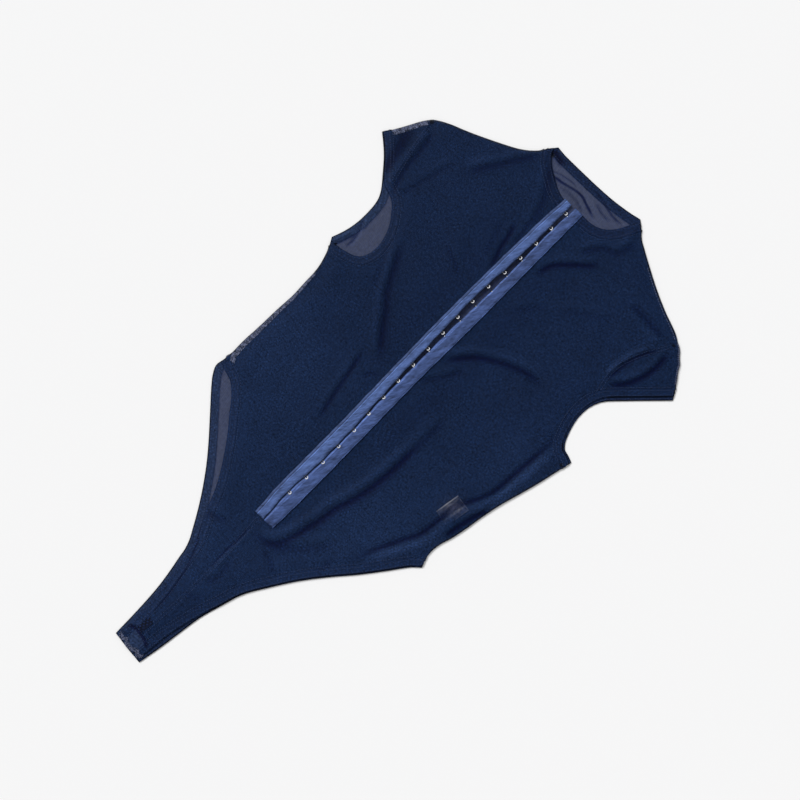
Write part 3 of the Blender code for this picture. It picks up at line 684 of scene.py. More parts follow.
# How much of each crease is left at the rim
RIM_CREASE = 0.35
# Rows with no depth and no rise only paint shade into the cloth, or painted light where their tone is below
# zero
FRONT_CREASES = (
    Crease(((0, 198), (6, 192), (20, 194), (31, 204), (37, 218), (41, 236), (46, 255), (49, 275), (55, 292),
            (60, 312), (63, 333), (65, 356), (66, 376), (67, 394)),
           1.0, 1.5, 2.7, 6.6, 8.5, 1, 1.0),
    Crease(((11, 203), (20, 222), (27, 240), (32, 258)), 0.2, 0.0, 4.0, 4.0, 8.0, 1, 0.22),
    Crease(((-38, 390), (-42, 450), (-40, 540), (-38, 620), (-36, 690)),
           0.0, 0.0, 22.0, 22.0, 8.0, 1, 0.14),
    Crease(((38, 330), (42, 400), (40, 500), (40, 600), (40, 680)), 0.0, 0.0, 18.0, 18.0, 8.0, 1, 0.14),
    Crease(((-129, 547), (-118, 527), (-108, 508), (-97, 490)), 0.4, 0.4, 4.5, 4.5, 8.0, 1, 0.30),
    Crease(((65, 362), (67, 394), (68, 414), (68, 436)), 0.4, 0.6, 4.0, 4.0, 9.0, 1, 0.45),
    Crease(((18, 188), (32, 194), (49, 209), (64, 226), (78, 245)), 0.5, 0.5, 5.0, 7.0, 9.0, 1, 0.35),
    Crease(((170, 516), (173, 497), (172, 477), (170, 456), (168, 434), (166, 415), (160, 398), (152, 384),
            (145, 370), (144, 352), (142, 336), (139, 320), (131, 305), (123, 289), (115, 273), (109, 258),
            (104, 243)), 1.0, 1.7, 3.6, 3.4, 10.0, 1, 1.05),
    Crease(((183, 500), (182, 478), (180, 456), (177, 434), (174, 414), (168, 398), (165, 384)),
           0.0, 0.0, 6.5, 6.5, 8.0, 1, -0.50),
    Crease(((158, 348), (153, 330), (147, 314), (138, 298), (129, 280), (121, 262)),
           0.0, 0.0, 7.0, 7.0, 8.0, 1, -0.42),
    Crease(((160, 336), (163, 352), (166.5, 368), (171, 384), (177, 399)),
           0.9, 0.2, 2.6, 3.2, 6.0, 1, 1.25),
    Crease(((142, 326), (147, 348), (152, 365), (158, 380), (163, 398), (171, 415), (176, 432), (182, 459)),
           0.0, 0.2, 1.8, 1.8, 3.0, 1, -0.45),
    Crease(((-64.6, 177.6), (-48, 153.6), (-35.2, 134.4), (-27.7, 118), (-23.4, 104.8), (-18.9, 83.1),
            (-16.8, 67.2), (-16, 51.2), (-16.5, 42)), 0.2, 0.2, 1.0, 1.0, 3.0, -1, 0.85),
    Crease(((23, 183), (39, 180), (51, 172)), 0.4, 0.4, 3.0, 4.0, 7.0, 1, 0.35),
    Crease(((86, 232), (87, 220), (84, 206)), 0.3, 0.3, 3.0, 3.5, 6.0, -1, 0.3),
    Crease(((-55, 168), (-40, 174), (-28, 178)), 0.5, 0.4, 3.0, 4.5, 7.0, 1, 0.4),
    Crease(((1, 113), (8, 121), (8, 135), (5, 150)), 0.5, 0.5, 3.5, 4.5, 8.0, 1, 0.35),
    Crease(((-5, 89), (4, 91), (13, 98)), 0.3, 0.3, 3.0, 4.0, 7.0, 1, 0.3),
    Crease(((-5, 193), (-5, 171), (-6, 151), (-5, 126)), 0.3, 0.6, 1.3, 1.6, 4.0, 1, 0.75),
    Crease(((-29, 15), (-25.3, 18.4), (-19.4, 21), (-8.1, 21), (5.1, 16.8), (9, 14)),
           0.6, 0.5, 1.3, 1.7, 5.0, 1, 1.7),
    Crease(((-162, 585), (-170, 600), (-175, 619), (-177, 638), (-180, 663), (-185, 680)),
           0.6, 1.2, 3.5, 3.6, 8.0, 1, 0.6),
    Crease(((-190, 596), (-196, 622), (-203, 648), (-207, 664)), 0.2, 0.3, 8.0, 8.0, 12.0, 1, 0.75),
    Crease(((-157, 589), (-154, 606), (-149, 626), (-144, 646), (-136, 669)),
           0.4, 0.4, 3.2, 3.6, 7.0, 1, 0.3),
    Crease(((-121, 667), (-109, 687), (-96, 708), (-83, 729), (-71, 748)), 0.6, 1.0, 3.8, 6.4, 8.0, 1, 0.6),
    Crease(((-20, 671), (-26, 690), (-33, 709), (-41, 722), (-49, 736), (-57, 749)),
           0.4, 0.5, 4.0, 6.0, 8.0, 1, 0.5),
    Crease(((-20, 601), (-22, 613), (-28, 630), (-31, 647), (-36, 664)), 0.6, 0.4, 3.0, 3.0, 6.0, 1, 0.85),
    Crease(((-33, 606), (-40, 630), (-48, 656)), 0.2, 0.0, 5.0, 5.0, 8.0, 1, 0.2),
    Crease(((-20, 642), (-21, 657), (-26, 680)), 0.4, 0.3, 3.0, 3.0, 6.0, 1, 0.4),
    Crease(((-33, 433), (-43, 443), (-58, 461), (-72, 481), (-86, 497), (-96, 515), (-106, 534),
            (-117, 554)),
           0.9, 0.9, 4.2, 6.4, 8.0, 1, 0.7),
    Crease(((-37, 334), (-41, 349), (-45, 369), (-49, 390), (-53, 410), (-57, 429)),
           0.8, 0.6, 2.6, 2.8, 6.5, 1, 0.85),
    Crease(((-35, 405), (-33, 415), (-22, 420)), 0.5, 0.3, 2.6, 3.4, 6.0, 1, 0.4),
    Crease(((-76, 587), (-57, 580), (-40, 571)), 0.3, 0.3, 3.0, 3.4, 6.0, 1, 0.3),
    Crease(((16, 482), (27, 496), (41, 512), (58, 524), (78, 534), (97, 541), (111, 543), (121, 544)),
           0.9, 1.0, 3.6, 4.6, 8.0, 1, 0.85),
    Crease(((14, 447), (26, 462), (39, 482), (44, 493)), 0.5, 0.5, 3.6, 3.8, 7.0, 1, 0.4),
    Crease(((25, 633), (27, 648), (32, 658), (49, 675), (64, 688), (69, 698)),
           0.8, 0.6, 2.8, 4.8, 7.0, 1, 0.95),
    Crease(((38, 585), (48, 600), (62, 615)), 0.3, 0.4, 4.2, 4.2, 8.0, 1, 0.2),
    Crease(((73, 616), (89, 633), (109, 646), (127, 655)), 0.3, 0.4, 4.2, 4.2, 8.0, 1, 0.2),
    Crease(((83, 749), (79, 729), (74, 718), (61, 714), (50, 700), (43, 686)),
           0.6, 0.9, 4.0, 5.0, 7.0, -1, 0.5),
    Crease(((127, 685), (148, 685), (168, 683), (185, 681)), 0.5, 0.6, 4.0, 4.4, 7.0, -1, 0.55),
    Crease(((167, 598), (170, 610), (171, 622), (175, 641), (183, 659), (191, 670)),
           0.6, 1.0, 2.2, 3.0, 4.5, 1, 0.9),
    Crease(((173, 596), (178, 601), (188, 612), (196, 629), (200, 646), (200, 662), (199, 676)),
           1.0, 0.8, 3.2, 4.6, 6.0, 1, 1.0),
    Crease(((164, 601), (162, 626), (167, 653), (178, 677), (197, 689)), 0.0, 0.3, 1.6, 1.6, 5.0, 1, -0.4),
    Crease(((162, 596), (160, 620), (165, 645), (176, 668)), 0.2, 0.7, 3.0, 3.0, 5.0, -1, 0.1),
)
# Painted light and shade on the front: where it is painted paler or darker
FRONT_PAINTED_LIGHT_AND_SHADE = (
    Patch(0, 60, 90, 0.12),
    Patch(-20, 150, 60, 0.18),
    Patch(-120, 340, 70, 0.30),
    Patch(-140, 395, 40, 0.16),
    Patch(-70, 250, 50, 0.16),
    Patch(100, 290, 60, 0.34),
    Patch(70, 200, 60, 0.30),
    Patch(120, 380, 34, 0.14),
    Patch(150, 460, 40, 0.26),
    Patch(0, 330, 34, -0.12),
    Patch(-75, 470, 40, -0.14),
    Patch(-80, 540, 40, -0.08),
    Patch(-200, 650, 20, -0.30),
    Patch(0, 120, 40, 0.04),
)
# Where the front lies doubled and hides what is below, and where it is stretched thin over the label
CLOSE_PATCHES = (
    Patch(166, 366, 8, 0.3),
    Patch(159, 352, 7, 0.35),
    Patch(142, 368, 13, -0.30),
    Patch(152, 374, 8, -0.20),
)
LABEL_WINDOW = (Patch(146, 370, 12, 0.65),)
FRONT_PIECES = (
    "front_panel_right", "front_panel_left", "sleeve_left_front", "sleeve_right_front",
    "neckband_front_right", "neckband_front_left", "armhole_band_left_front",
    "armhole_band_right_front", "leg_band_left_front", "leg_band_right_front", "closure_front",
)
# A box round the seams at the crotch, which need finer cloth
SEAM_BOX = ((-68.0, 24.0), (1.0, 200.0), 1.3)
front_outlines = {node: outline_of(node) for node in FRONT_PIECES}
outlines = {**back_outlines, **front_outlines}
rim_points = rim_of(front_outlines)
front_rim = search(rim_points)
# The front's rim is dark only where it is the garment's outline, partly as painted shade there, and along
# the left sleeve's hem, as a painted shadow
SAME_RIM = 1.5
HEM_RIM = 7.0
LEFT_HEM_FROM = 184.0
SLEEVE_SEAM_END = (196.0, 691.0)
SEAM_END_CLEAR = 6.0
rim_gap = gaps(back_rim, rim_points)
at_left_hem = (rim_points[:, 0] > LEFT_HEM_FROM) & (rim_gap < HEM_RIM)
off_seam_end = np.hypot(*(rim_points - SLEEVE_SEAM_END).T) > SEAM_END_CLEAR
outer_rim = search(rim_points[((rim_gap < SAME_RIM) | at_left_hem) & off_seam_end])


def at_outer_rim(points):
    """How far each point of the front is from the garment's outline."""
    return {"edge": gaps(outer_rim, points)}


def front_lay(points):
    """The front layer's height and looks: it rests on the back at its rim and stands in folds."""
    rise = eased(gaps(front_rim, points) / PUFF_REACH)
    height, tone = creased(points, FRONT_CREASES)
    height *= RIM_CREASE + (1.0 - RIM_CREASE) * eased(rise * 3.0)
    height += FRONT_WAVE * rise * ripple(points, length=38.0, seed=11)
    tone *= 1.0 - patched(points, LABEL_WINDOW)
    looks = {"tone": tone, "pale": patched(points, FRONT_PAINTED_LIGHT_AND_SHADE), "close": patched(points, CLOSE_PATCHES)}
    return np.maximum(FRONT_LOWEST, FRONT_LEVEL + PUFF * rise + height), looks


front_panels = {}
for node in ("front_panel_right", "front_panel_left"):
    loop = tucked(node, front_outlines)
    piece = cloth(
        node + "_cloth", loop, front_lay, FRONT_STEP, mesh_front, front_rim, marks=at_outer_rim,
        close_boxes=(SEAM_BOX,),
    )
    front_panels[node] = settled(piece, "mesh_navy", node)

# The cap sleeves, each a front and a back half of the same mesh with an overlocked seam along the top.
# They lie flat, out from the body seam to the bound opening.
SLEEVE_STEP = 2.2
for node in ("sleeve_left_back", "sleeve_right_back", "sleeve_left_front", "sleeve_right_front"):
    if node in back_outlines:
        loop = tucked(node, back_outlines)
        piece = cloth(node + "_cloth", loop, back_lay, BACK_STEP, mesh_back, back_rim)
    else:
        loop = tucked(node, front_outlines)
        piece = cloth(
            node + "_cloth", loop, front_lay, SLEEVE_STEP, mesh_front, front_rim, marks=at_outer_rim)
    settled(piece, "mesh_navy", node)

# The bindings: folded strips of the mesh, sewn round the neck, the armholes, the legs and the crotch end.
# Two to four layers thick, so nothing shows through them. The panel's edge lies inside the fold.
BIND_HALF = 0.24
BIND_STEP = 1.6
BIND_OUTLINE = 2.5


def binding_cloth(name, colour, crossed):
    """Folded mesh binding, the same knit as the panels but closed."""
    material, tree, shader, chart = new_material(name, rough=0.6, shine=0.06, sheen=0.012)
    meshy_look(tree, chart, colour, shader, crossed)
    return material


neck_binding = binding_cloth("neck_binding", (0.0064, 0.0150, 0.047), crossed=0.12)
front_neck_binding = binding_cloth("front_neck_binding", (0.0046, 0.0122, 0.041), crossed=0.12)
arm_binding = binding_cloth("arm_binding", (0.0150, 0.0285, 0.072), crossed=0.12)
leg_binding = binding_cloth("leg_binding", (0.0145, 0.0275, 0.071), crossed=0.12)
hem_binding = binding_cloth("hem_binding", (0.0056, 0.0150, 0.0480), crossed=0.12)
BINDINGS = {
    "neckband_back": neck_binding,
    "neckband_front_right": front_neck_binding,
    "neckband_front_left": front_neck_binding,
    "armhole_band_left_back": neck_binding,
    "armhole_band_right_back": arm_binding,
    "armhole_band_left_front": hem_binding,
    "armhole_band_right_front": hem_binding,
    "leg_band_left_back": neck_binding,
    "leg_band_right_back": leg_binding,
    "leg_band_left_front": hem_binding,
    "leg_band_right_front": hem_binding,
    "closure_back": arm_binding,
    "closure_front": arm_binding,
}


def at_back_rim(points):
    """How far each point of the back is from its rim, more in the patches of painted light, where its dark
    rim is thinner.
    """
    return {"edge": gaps(back_rim, points) + patched(points, BACK_PAINTED_LIGHT)}


bands = {}
for node, material in BINDINGS.items():
    loop = inset(rounded(outlines[node], BIND_OUTLINE), -EDGE_ROUND)
    if node in back_outlines:
        lay, rim, marks = back_lay, back_rim, at_back_rim
    else:
        lay, rim, marks = front_lay, front_rim, at_outer_rim
    piece = cloth(node + "_cloth", loop, lay, BIND_STEP, material, rim, BIND_HALF, marks)
    bands[node] = settled(piece, "band_navy", node)

# A small patch of near-black mesh where the crotch end fastens.
# It is sewn flat on the front, just above the closure band.
PATCH_CORNERS = np.array(((-16.9, 24.5), (-8.8, 22.4), (-6.5, 39.0), (-14.7, 41.1)))
PATCH_LIFT = 0.35
PATCH_STEP = 1.2


def patch_lay(points):
    """The doubled patch lies on the front panel."""
    height, looks = front_lay(points)
    return height + PATCH_LIFT, looks


patch_loop = rounded(PATCH_CORNERS, PATCH_STEP)
patch_cloth = binding_cloth("closure_patch", (0.0020, 0.0052, 0.020), crossed=0.5)
closure_patch = cloth(
    "closure_patch_cloth", patch_loop, patch_lay, PATCH_STEP, patch_cloth,
    search_along(patch_loop), marks=at_outer_rim,
)
settled(closure_patch, "band_navy")


def signed_area(loop):
    """The outline's area, above zero where its points go round counterclockwise."""
    across, up = loop.T
    return (across * np.roll(up, -1) - np.roll(across, -1) * up).sum() / 2


# Each front panel's bindings, with the closure band and patch for the right one, are gathered in a list that
# is not used.
for node, piece in front_panels.items():
    side = node.rsplit("_", 1)[1]
    carried = [bands[name] for name in bands if "front" in name and side in name]
    if side == "right":
        carried += [bands["closure_front"], closure_patch]

# The two fastening tapes, woven satin ribbon sewn to the edges of the front opening.
# The hook tape on the wearer's right is the paler and shinier one.
PlacketRow = namedtuple("PlacketRow", "up hook_outer hook_inner eye_inner eye_outer")
PLACKET_ROWS = (
    PlacketRow(205.0, -14.0, -0.6, 0.2, 14.2),
    PlacketRow(250.0, -16.6, -3.0, -2.1, 15.2),
    PlacketRow(300.0, -16.5, -0.3, 0.7, 15.2),
    PlacketRow(350.0, -16.5, -0.6, 0.6, 14.6),
    PlacketRow(400.0, -17.5, -3.2, -1.2, 14.0),
    PlacketRow(450.0, -18.5, -5.5, -1.5, 13.6),
    PlacketRow(515.0, -19.2, -7.3, -1.4, 14.5),
    PlacketRow(555.0, -19.2, -8.4, 0.0, 14.9),
    PlacketRow(590.0, -18.8, -7.4, 1.3, 14.7),
    PlacketRow(620.0, -18.5, -4.8, 1.4, 14.5),
    PlacketRow(670.0, -17.2, -3.2, 0.6, 14.5),
    PlacketRow(745.0, -14.0, -3.4, 2.8, 14.4),
)
PLACKET_LOW = 208.5
PLACKET_HIGH = 725.8
HOOKS = 19
HOOK_PITCH = 25.65
FIRST_HOOK = 251.1
TAPE_LIFT = 1.0
TAPE_HALF = 0.32
TAPE_WAVE = 0.10
TAPE_STEP = 2.0
TAPE_ROLL = 0.5
TAPE_POINTS = 207
# How far each hook pulls the tapes' inner edges in, and how much of that the outer edges follow
SCALLOP = 0.22
OUTER_SCALLOP = 0.6
RIB_PITCH = 0.0013
WARP_PITCH = 0.0016


def tape_edge(column, up):
    """How far across one edge of the tapes lies at each height, with the small pull of each hook."""
    ups = np.array([row.up for row in PLACKET_ROWS])
    across = np.array([getattr(row, column) for row in PLACKET_ROWS])
    k = np.clip(np.searchsorted(ups, up) - 1, 0, len(ups) - 2)
    part = eased((up - ups[k]) / (ups[k + 1] - ups[k]))
    pull = SCALLOP * np.cos((up - FIRST_HOOK) / HOOK_PITCH * math.tau)
    if "outer" in column:
        pull = pull * OUTER_SCALLOP
    return across[k] * (1 - part) + across[k + 1] * part + pull


def tape_lay(points):
    """The tapes lie on the front layer, with a slow wave along them."""
    wave = TAPE_WAVE * ripple(points * (0.3, 1.0), length=24.0, seed=23)
    return front_lay(points)[0] + TAPE_LIFT + wave, {}


def band_of(tree, value, low, high, soft):
    """1 where the value lies between low and high, with soft limits, and 0 elsewhere."""
    rise = math_node(tree, "MULTIPLY_ADD", value, 1 / soft, 0.5 - low / soft, clamp=True)
    fall = math_node(tree, "MULTIPLY_ADD", value, -1 / soft, 0.5 + high / soft, clamp=True)
    return math_node(tree, "MULTIPLY", rise, fall)


def satin_tape(name, colour, lines, sheen):
    """Woven satin ribbon: fine ribs, uneven floats and sewn lines, each (from, to, share) in mm."""
    material, tree, shader, chart = new_material(name, rough=0.42, shine=0.14, sheen=sheen)
    parts = tree.nodes.new("ShaderNodeSeparateXYZ")
    tree.links.new(chart, parts.inputs[0])
    rib = math_node(tree, "SINE", math_node(tree, "MULTIPLY", parts.outputs["Y"], math.tau / RIB_PITCH))
    warp = math_node(tree, "SINE", math_node(tree, "MULTIPLY", parts.outputs["X"], math.tau / WARP_PITCH))
    weave = math_node(tree, "ADD", rib, math_node(tree, "MULTIPLY", warp, 0.7))
    slant = tree.nodes.new("ShaderNodeMapping")
    slant.vector_type = "TEXTURE"
    slant.inputs["Rotation"].default_value = (0.0, 0.0, -0.47)
    slant.inputs["Scale"].default_value = (0.8, 3.6, 1.0)
    tree.links.new(chart, slant.inputs["Vector"])
    yarn = group_node(tree, uneven, slant.outputs[0], Patches=150.0, Speckle=620.0, Strength=1.8)
    factor = math_node(tree, "MULTIPLY_ADD", weave, 0.09, 1.0)
    factor = math_node(tree, "MULTIPLY", factor, yarn.outputs["Factor"])
    out = mark_node(tree, "from_outer")
    for low, high, share in lines:
        band = band_of(tree, out, low, high, soft=0.5)
        line = math_node(tree, "MULTIPLY_ADD", band, share - 1.0, 1.0)
        factor = math_node(tree, "MULTIPLY", factor, line)
    coloured(tree, shader, colour, factor)
    raised(tree, weave, 0.3, shader)
    return material


# Inward is the way across from the tape's outer edge: 1 toward the wearer's left, -1 toward the right.
# Each sewn line is (from, to, share of the colour), measured in from the outer edge.
Tape =namedtuple("Tape", "node outer inner inward colour sheen lines")
TAPES = (
    Tape("hook_tape", "hook_outer", "hook_inner", 1.0, (0.069, 0.117, 0.290), 0.03,
         ((-1.0, 0.4, 0.8), (-1.0, 2.3, 0.62), (2.3, 3.2, 0.42), (3.2, 4.4, 1.5), (4.4, 5.1, 0.72),
          (12.6, 16.0, 0.85))),
    Tape("eye_tape", "eye_outer", "eye_inner", -1.0, (0.046, 0.078, 0.206), 0.015,
         ((-1.0, 1.0, 2.8), (1.3, 2.2, 0.8), (12.4, 13.6, 1.75), (13.6, 18.0, 1.35))),
)
for tape in TAPES:
    ups = np.linspace(PLACKET_LOW, PLACKET_HIGH, TAPE_POINTS)
    one = np.column_stack((tape_edge(tape.outer, ups), ups))
    other = np.column_stack((tape_edge(tape.inner, ups), ups))
    loop = np.vstack((other, one[::-1]) if tape.inward > 0 else (one, other[::-1]))

    def from_outer(points, outer=tape.outer):
        """How far each point is from the tape's outer edge."""
        return {"from_outer": np.abs(points[:, 0] - tape_edge(outer, points[:, 1]))}

    piece = cloth(
        tape.node + "_cloth", loop, tape_lay, TAPE_STEP,
        satin_tape(tape.node + "_satin", tape.colour, tape.lines, tape.sheen),
        search_along(loop), TAPE_HALF, from_outer, roll=TAPE_ROLL,
    )
    settled(piece, "tape_blue", tape.node)

# The hooks and eyes: bent wire coated white, sewn under the tapes' inner edges and fastened to each other.
# Each hook is a small bow that takes hold of the wire loop of the eye across from it. The hooks' shanks and
# the eyes' loops are drawn in near-black wire as painted shade, and each eye's root as a painted white
# glint.
HOOK_HALF = 1.75
HOOK_REACH = 3.5
HOOK_WIRE = 0.46
EYE_HALF = 1.2
EYE_INSET = 0.9
EYE_WIRE = 0.26
TURNS = 10
# How far the bows lie above the tape's face, and the eyes' loops below it
BOW_LIFT = 0.1
LOOP_SINK = 0.7


def uneven_finish(name, colour, rough, shine, **grain):
    """An opaque finish for wire or thread, with an uneven colour."""
    material, tree, shader, place = new_material(name, rough, shine, chart=False)
    coloured(tree, shader, colour, group_node(tree, uneven, place, **grain).outputs["Factor"])
    return material


def bent_wires(name, paths, radius, material):
    """Round wires along paths of (across, up, height) points, as one mesh."""
    curve = bpy.data.curves.new(name, "CURVE")
    curve.dimensions = "3D"
    curve.bevel_depth = radius * MM
    curve.bevel_resolution = 2
    curve.use_fill_caps = True
    for path in paths:
        spline = curve.splines.new("POLY")
        spline.points.add(len(path) - 1)
        for point, (across, up, height) in zip(spline.points, path):
            point.co = ((across - MIDDLE[0]) * MM, (up - MIDDLE[1]) * MM, height * MM, 1.0)
    bent = bpy.data.objects.new(name + "_bend", curve)
    mesh = bpy.data.meshes.new_from_object(bent)
    bpy.data.objects.remove(bent)
    mesh.name = name
    return piece_of(name, mesh, material)


# The coating is a little uneven where it is worn
worn = {"Patches": 300.0, "Speckle": 1500.0, "Strength": 0.5}
white_coat_and_glint = uneven_finish("white_coated_wire", (0.86, 0.87, 0.90), rough=0.3, shine=0.5, **worn)
shade_dark_wire = uneven_finish("dark_wire_painted_shade", (0.02, 0.022, 0.03), rough=0.35, shine=0.5, **worn)
hook_ups = FIRST_HOOK + HOOK_PITCH * np.arange(HOOKS)
hook_edges = tape_edge("hook_inner", hook_ups)
eye_edges = tape_edge("eye_inner", hook_ups)
tape_tops = tape_lay(np.column_stack((hook_edges, hook_ups)))[0] + TAPE_HALF
half_turn = np.linspace(-math.pi / 2, math.pi / 2, TURNS)
bows = []
shanks = []
loops = []
glint_paths = []
for up, left, right, face in zip(hook_ups, hook_edges, eye_edges, tape_tops):
    centre = left + HOOK_REACH - HOOK_HALF
    bows.append([
        (centre + HOOK_HALF * math.cos(turn), up + HOOK_HALF * math.sin(turn), face + BOW_LIFT)
        for turn in half_turn
    ])
    for side in (-HOOK_HALF, HOOK_HALF):
        shanks.append([
            (centre, up + side, face + BOW_LIFT),
            (left + 0.2, up + side * 0.8, face - 0.2),
            (left - 1.2, up + side * 0.7, face - 0.9),
        ])
    # A short knob of near-black wire in each hook's curl: painted shade
    shanks.append([(centre - 1.2, up, face - 0.5), (centre + 0.5, up, face - 0.35)])
    reach = max(right - centre - 0.4, 0.8)
    loops.append([
        (right + EYE_INSET - reach * math.cos(turn), up + EYE_HALF * math.sin(turn), face - LOOP_SINK)
        for turn in half_turn
    ])
    # A short white wire at each eye's root: a painted glint
    glint_paths.append([(right - 0.1, up - 1.5, face - 0.35), (right + 0.5, up - 1.1, face - 0.15)])
hooks = settled(bent_wires("hooks", bows, HOOK_WIRE, white_coat_and_glint), "hook_metal")
hook_shanks = settled(bent_wires("hook_shanks", shanks, HOOK_WIRE, shade_dark_wire), "hook_metal")
eyes = settled(bent_wires("eyes", loops, EYE_WIRE, shade_dark_wire), "hook_metal")
eye_root_glints = settled(bent_wires("eye_root_glints", glint_paths, HOOK_WIRE, white_coat_and_glint), "hook_metal")

# The care label, a plain ribbon of pale satin inside the left side seam, which shows through the mesh.
# Its sewn edge and its hem are doubled, so they look brighter than the rest.
LABEL_CORNER = np.array((133.5, 352.8))
LABEL_LONG = 31.0
LABEL_SHORT = 21.0
LABEL_ANGLE = math.radians(80.0)
LABEL_LEVEL = 0.95
LABEL_WAVE = 0.05
LABEL_OUTLINE = 1.5
LABEL_STEP = 1.6
along = np.array((math.cos(LABEL_ANGLE), math.sin(LABEL_ANGLE)))
out = np.array((math.sin(LABEL_ANGLE), -math.cos(LABEL_ANGLE)))


def label_lay(points):
    """The label lies on the back layer, with a small curl."""
    height = LABEL_LEVEL + LABEL_WAVE * ripple(points, length=12.0, seed=31)
    return height, {"from_hem": (points - LABEL_CORNER) @ out}


def label_satin():
    """Pale satin ribbon, bright at its sewn edges and blotched between them."""
    material, tree, shader, chart = new_material("label_satin", rough=0.5, shine=0.2)
    yarn = group_node(tree, uneven, chart, Patches=170.0, Speckle=420.0, Strength=2.6)
    off = mark_node(tree, "from_hem")
    bright = band_of(tree, off, -2.0, 1.3, soft=0.8)
    soft = math_node(tree, "MULTIPLY", band_of(tree, off, 1.3, 4.6, soft=1.5), 0.17)
    far = math_node(tree, "MULTIPLY", band_of(tree, off, 13.0, 15.5, soft=2.0), 0.22)
    ends = math_node(tree, "MULTIPLY_ADD", mark_node(tree, "edge"), -0.6, 0.9, clamp=True)
    ends = math_node(tree, "MULTIPLY", ends, 0.4)
    light = math_node(tree, "MAXIMUM", math_node(tree, "MAXIMUM", bright, soft), far)
    light = math_node(tree, "MAXIMUM", light, ends)
    factor = math_node(tree, "MULTIPLY", yarn.outputs["Factor"], math_node(tree, "SUBTRACT", 1.0, light))
    shade = mixed_colour(tree, (0.088, 0.090, 0.145), (0.95, 0.95, 1.0), light)
    coloured(tree, shader, shade, math_node(tree, "MAXIMUM", math_node(tree, "ADD", factor, light), 0.1))
    return material


label_corners = np.array((
    LABEL_CORNER, LABEL_CORNER + out * LABEL_SHORT, LABEL_CORNER + out * LABEL_SHORT + along * LABEL_LONG,
    LABEL_CORNER + along * LABEL_LONG,
))
label_loop = rounded(label_corners, LABEL_OUTLINE)
care_label = cloth(
    "care_label_cloth", label_loop, label_lay, LABEL_STEP, label_satin(), search_along(label_loop))
settled(care_label, "label_grey", "care_label")

# The sewing: navy thread in short raised stitches along every seam, on the panels, bindings and tapes.
# Along the left shoulder the thread is pale. The lift, pitch, length and width of each kind of stitch are
# in millimetres.
Stitch =namedtuple("Stitch", "lift pitch length width")
SEAM_STITCH = Stitch(0.12, 3.0, 2.1, 0.26)
BAND_STITCH = Stitch(BIND_HALF + 0.03, 2.9, 1.9, 0.24)
TAPE_STITCH = Stitch(TAPE_HALF + 0.02, 2.5, 1.8, 0.17)
SHOULDER_STITCH = Stitch(0.14, 3.2, 2.0, 0.24)
# How far each row of stitches runs in from the edge
SEAM_IN = 1.6
BAND_IN = 1.8
SHOULDER_IN = 2.4
TAPE_OUTER_IN = 3.0
TAPE_INNER_IN = 2.4
CLEAR_OF_RIM = 5.0


def stitches(name, line, lay, kind, material, slant=0.0, keep=None):
    """Short raised stitches of one kind along a line, about one each pitch, all in one mesh."""
    draw = np.random.default_rng(len(line))
    step = np.hypot(*np.diff(line, axis=0).T)
    run = np.concatenate(([0.0], np.cumsum(step)))
    marks = np.arange(kind.pitch / 2, run[-1], kind.pitch)
    marks = np.clip(marks + draw.uniform(-0.12, 0.12, len(marks)) * kind.pitch, 0.0, run[-1] - 0.5)
    middle = np.column_stack([np.interp(marks, run, line[:, k]) for k in range(2)])
    ahead = np.column_stack([np.interp(marks + 0.4, run, line[:, k]) for k in range(2)])
    way = ahead - middle
    chosen = np.hypot(*way.T) > 0.05
    if keep is not None:
        chosen &= keep(middle)
    middle, way = middle[chosen], way[chosen]
    way /= np.hypot(*way.T)[:, None]
    turn = slant * draw.uniform(0.7, 1.2, len(way))
    way = np.column_stack((
        way[:, 0] * np.cos(turn) - way[:, 1] * np.sin(turn),
        way[:, 0] * np.sin(turn) + way[:, 1] * np.cos(turn),
    ))
    across = np.column_stack((-way[:, 1], way[:, 0]))
    long = kind.length * draw.uniform(0.8, 1.1, (len(way), 1))
    height = lay(middle)[0] + kind.lift
    rows = []
    for share, wide, tall in ((-0.5, 0.0, -0.5), (-0.28, 1.0, 1.0), (0.28, 1.0, 1.0), (0.5, 0.0, -0.5)):
        spot = middle + way * long * share
        if wide == 0.0:
            rows.append(np.column_stack((spot, height + kind.width * tall)))
            continue
        for side, rise in ((1.0, 0.0), (0.0, tall), (-1.0, 0.0), (0.0, -tall)):
            rows.append(np.column_stack((spot + across * kind.width * side, height + kind.width * rise)))
    places = np.stack(rows, axis=1)
    faces = []
    for k in range(4):
        after = (k + 1) % 4
        faces += [(0, 1 + after, 1 + k), (1 + k, 1 + after, 5 + after), (1 + k, 5 + after, 5 + k)]
        faces.append((9, 5 + k, 5 + after))
    every = (np.array(faces)[None] + 10 * np.arange(len(middle))[:, None, None]).reshape(-1, 3)
    spots = places.reshape(-1, 3)
    spots = np.column_stack(((spots[:, :2] - MIDDLE) * MM, spots[:, 2] * MM))
    mesh = bpy.data.meshes.new(name)
    mesh.from_pydata(spots.tolist(), [], every.tolist())
    return settled(piece_of(name, mesh, material), "band_navy")


def in_from_the_rim(points):
    """Which points lie in from the open rim and aren't hidden below the tapes."""
    seen = (np.abs(points[:, 0]) > PLACKET_HALF - 3.0) | (points[:, 1] < PLACKET_LOW - 2.0)
    return (gaps(front_rim, points) > CLEAR_OF_RIM) & seen


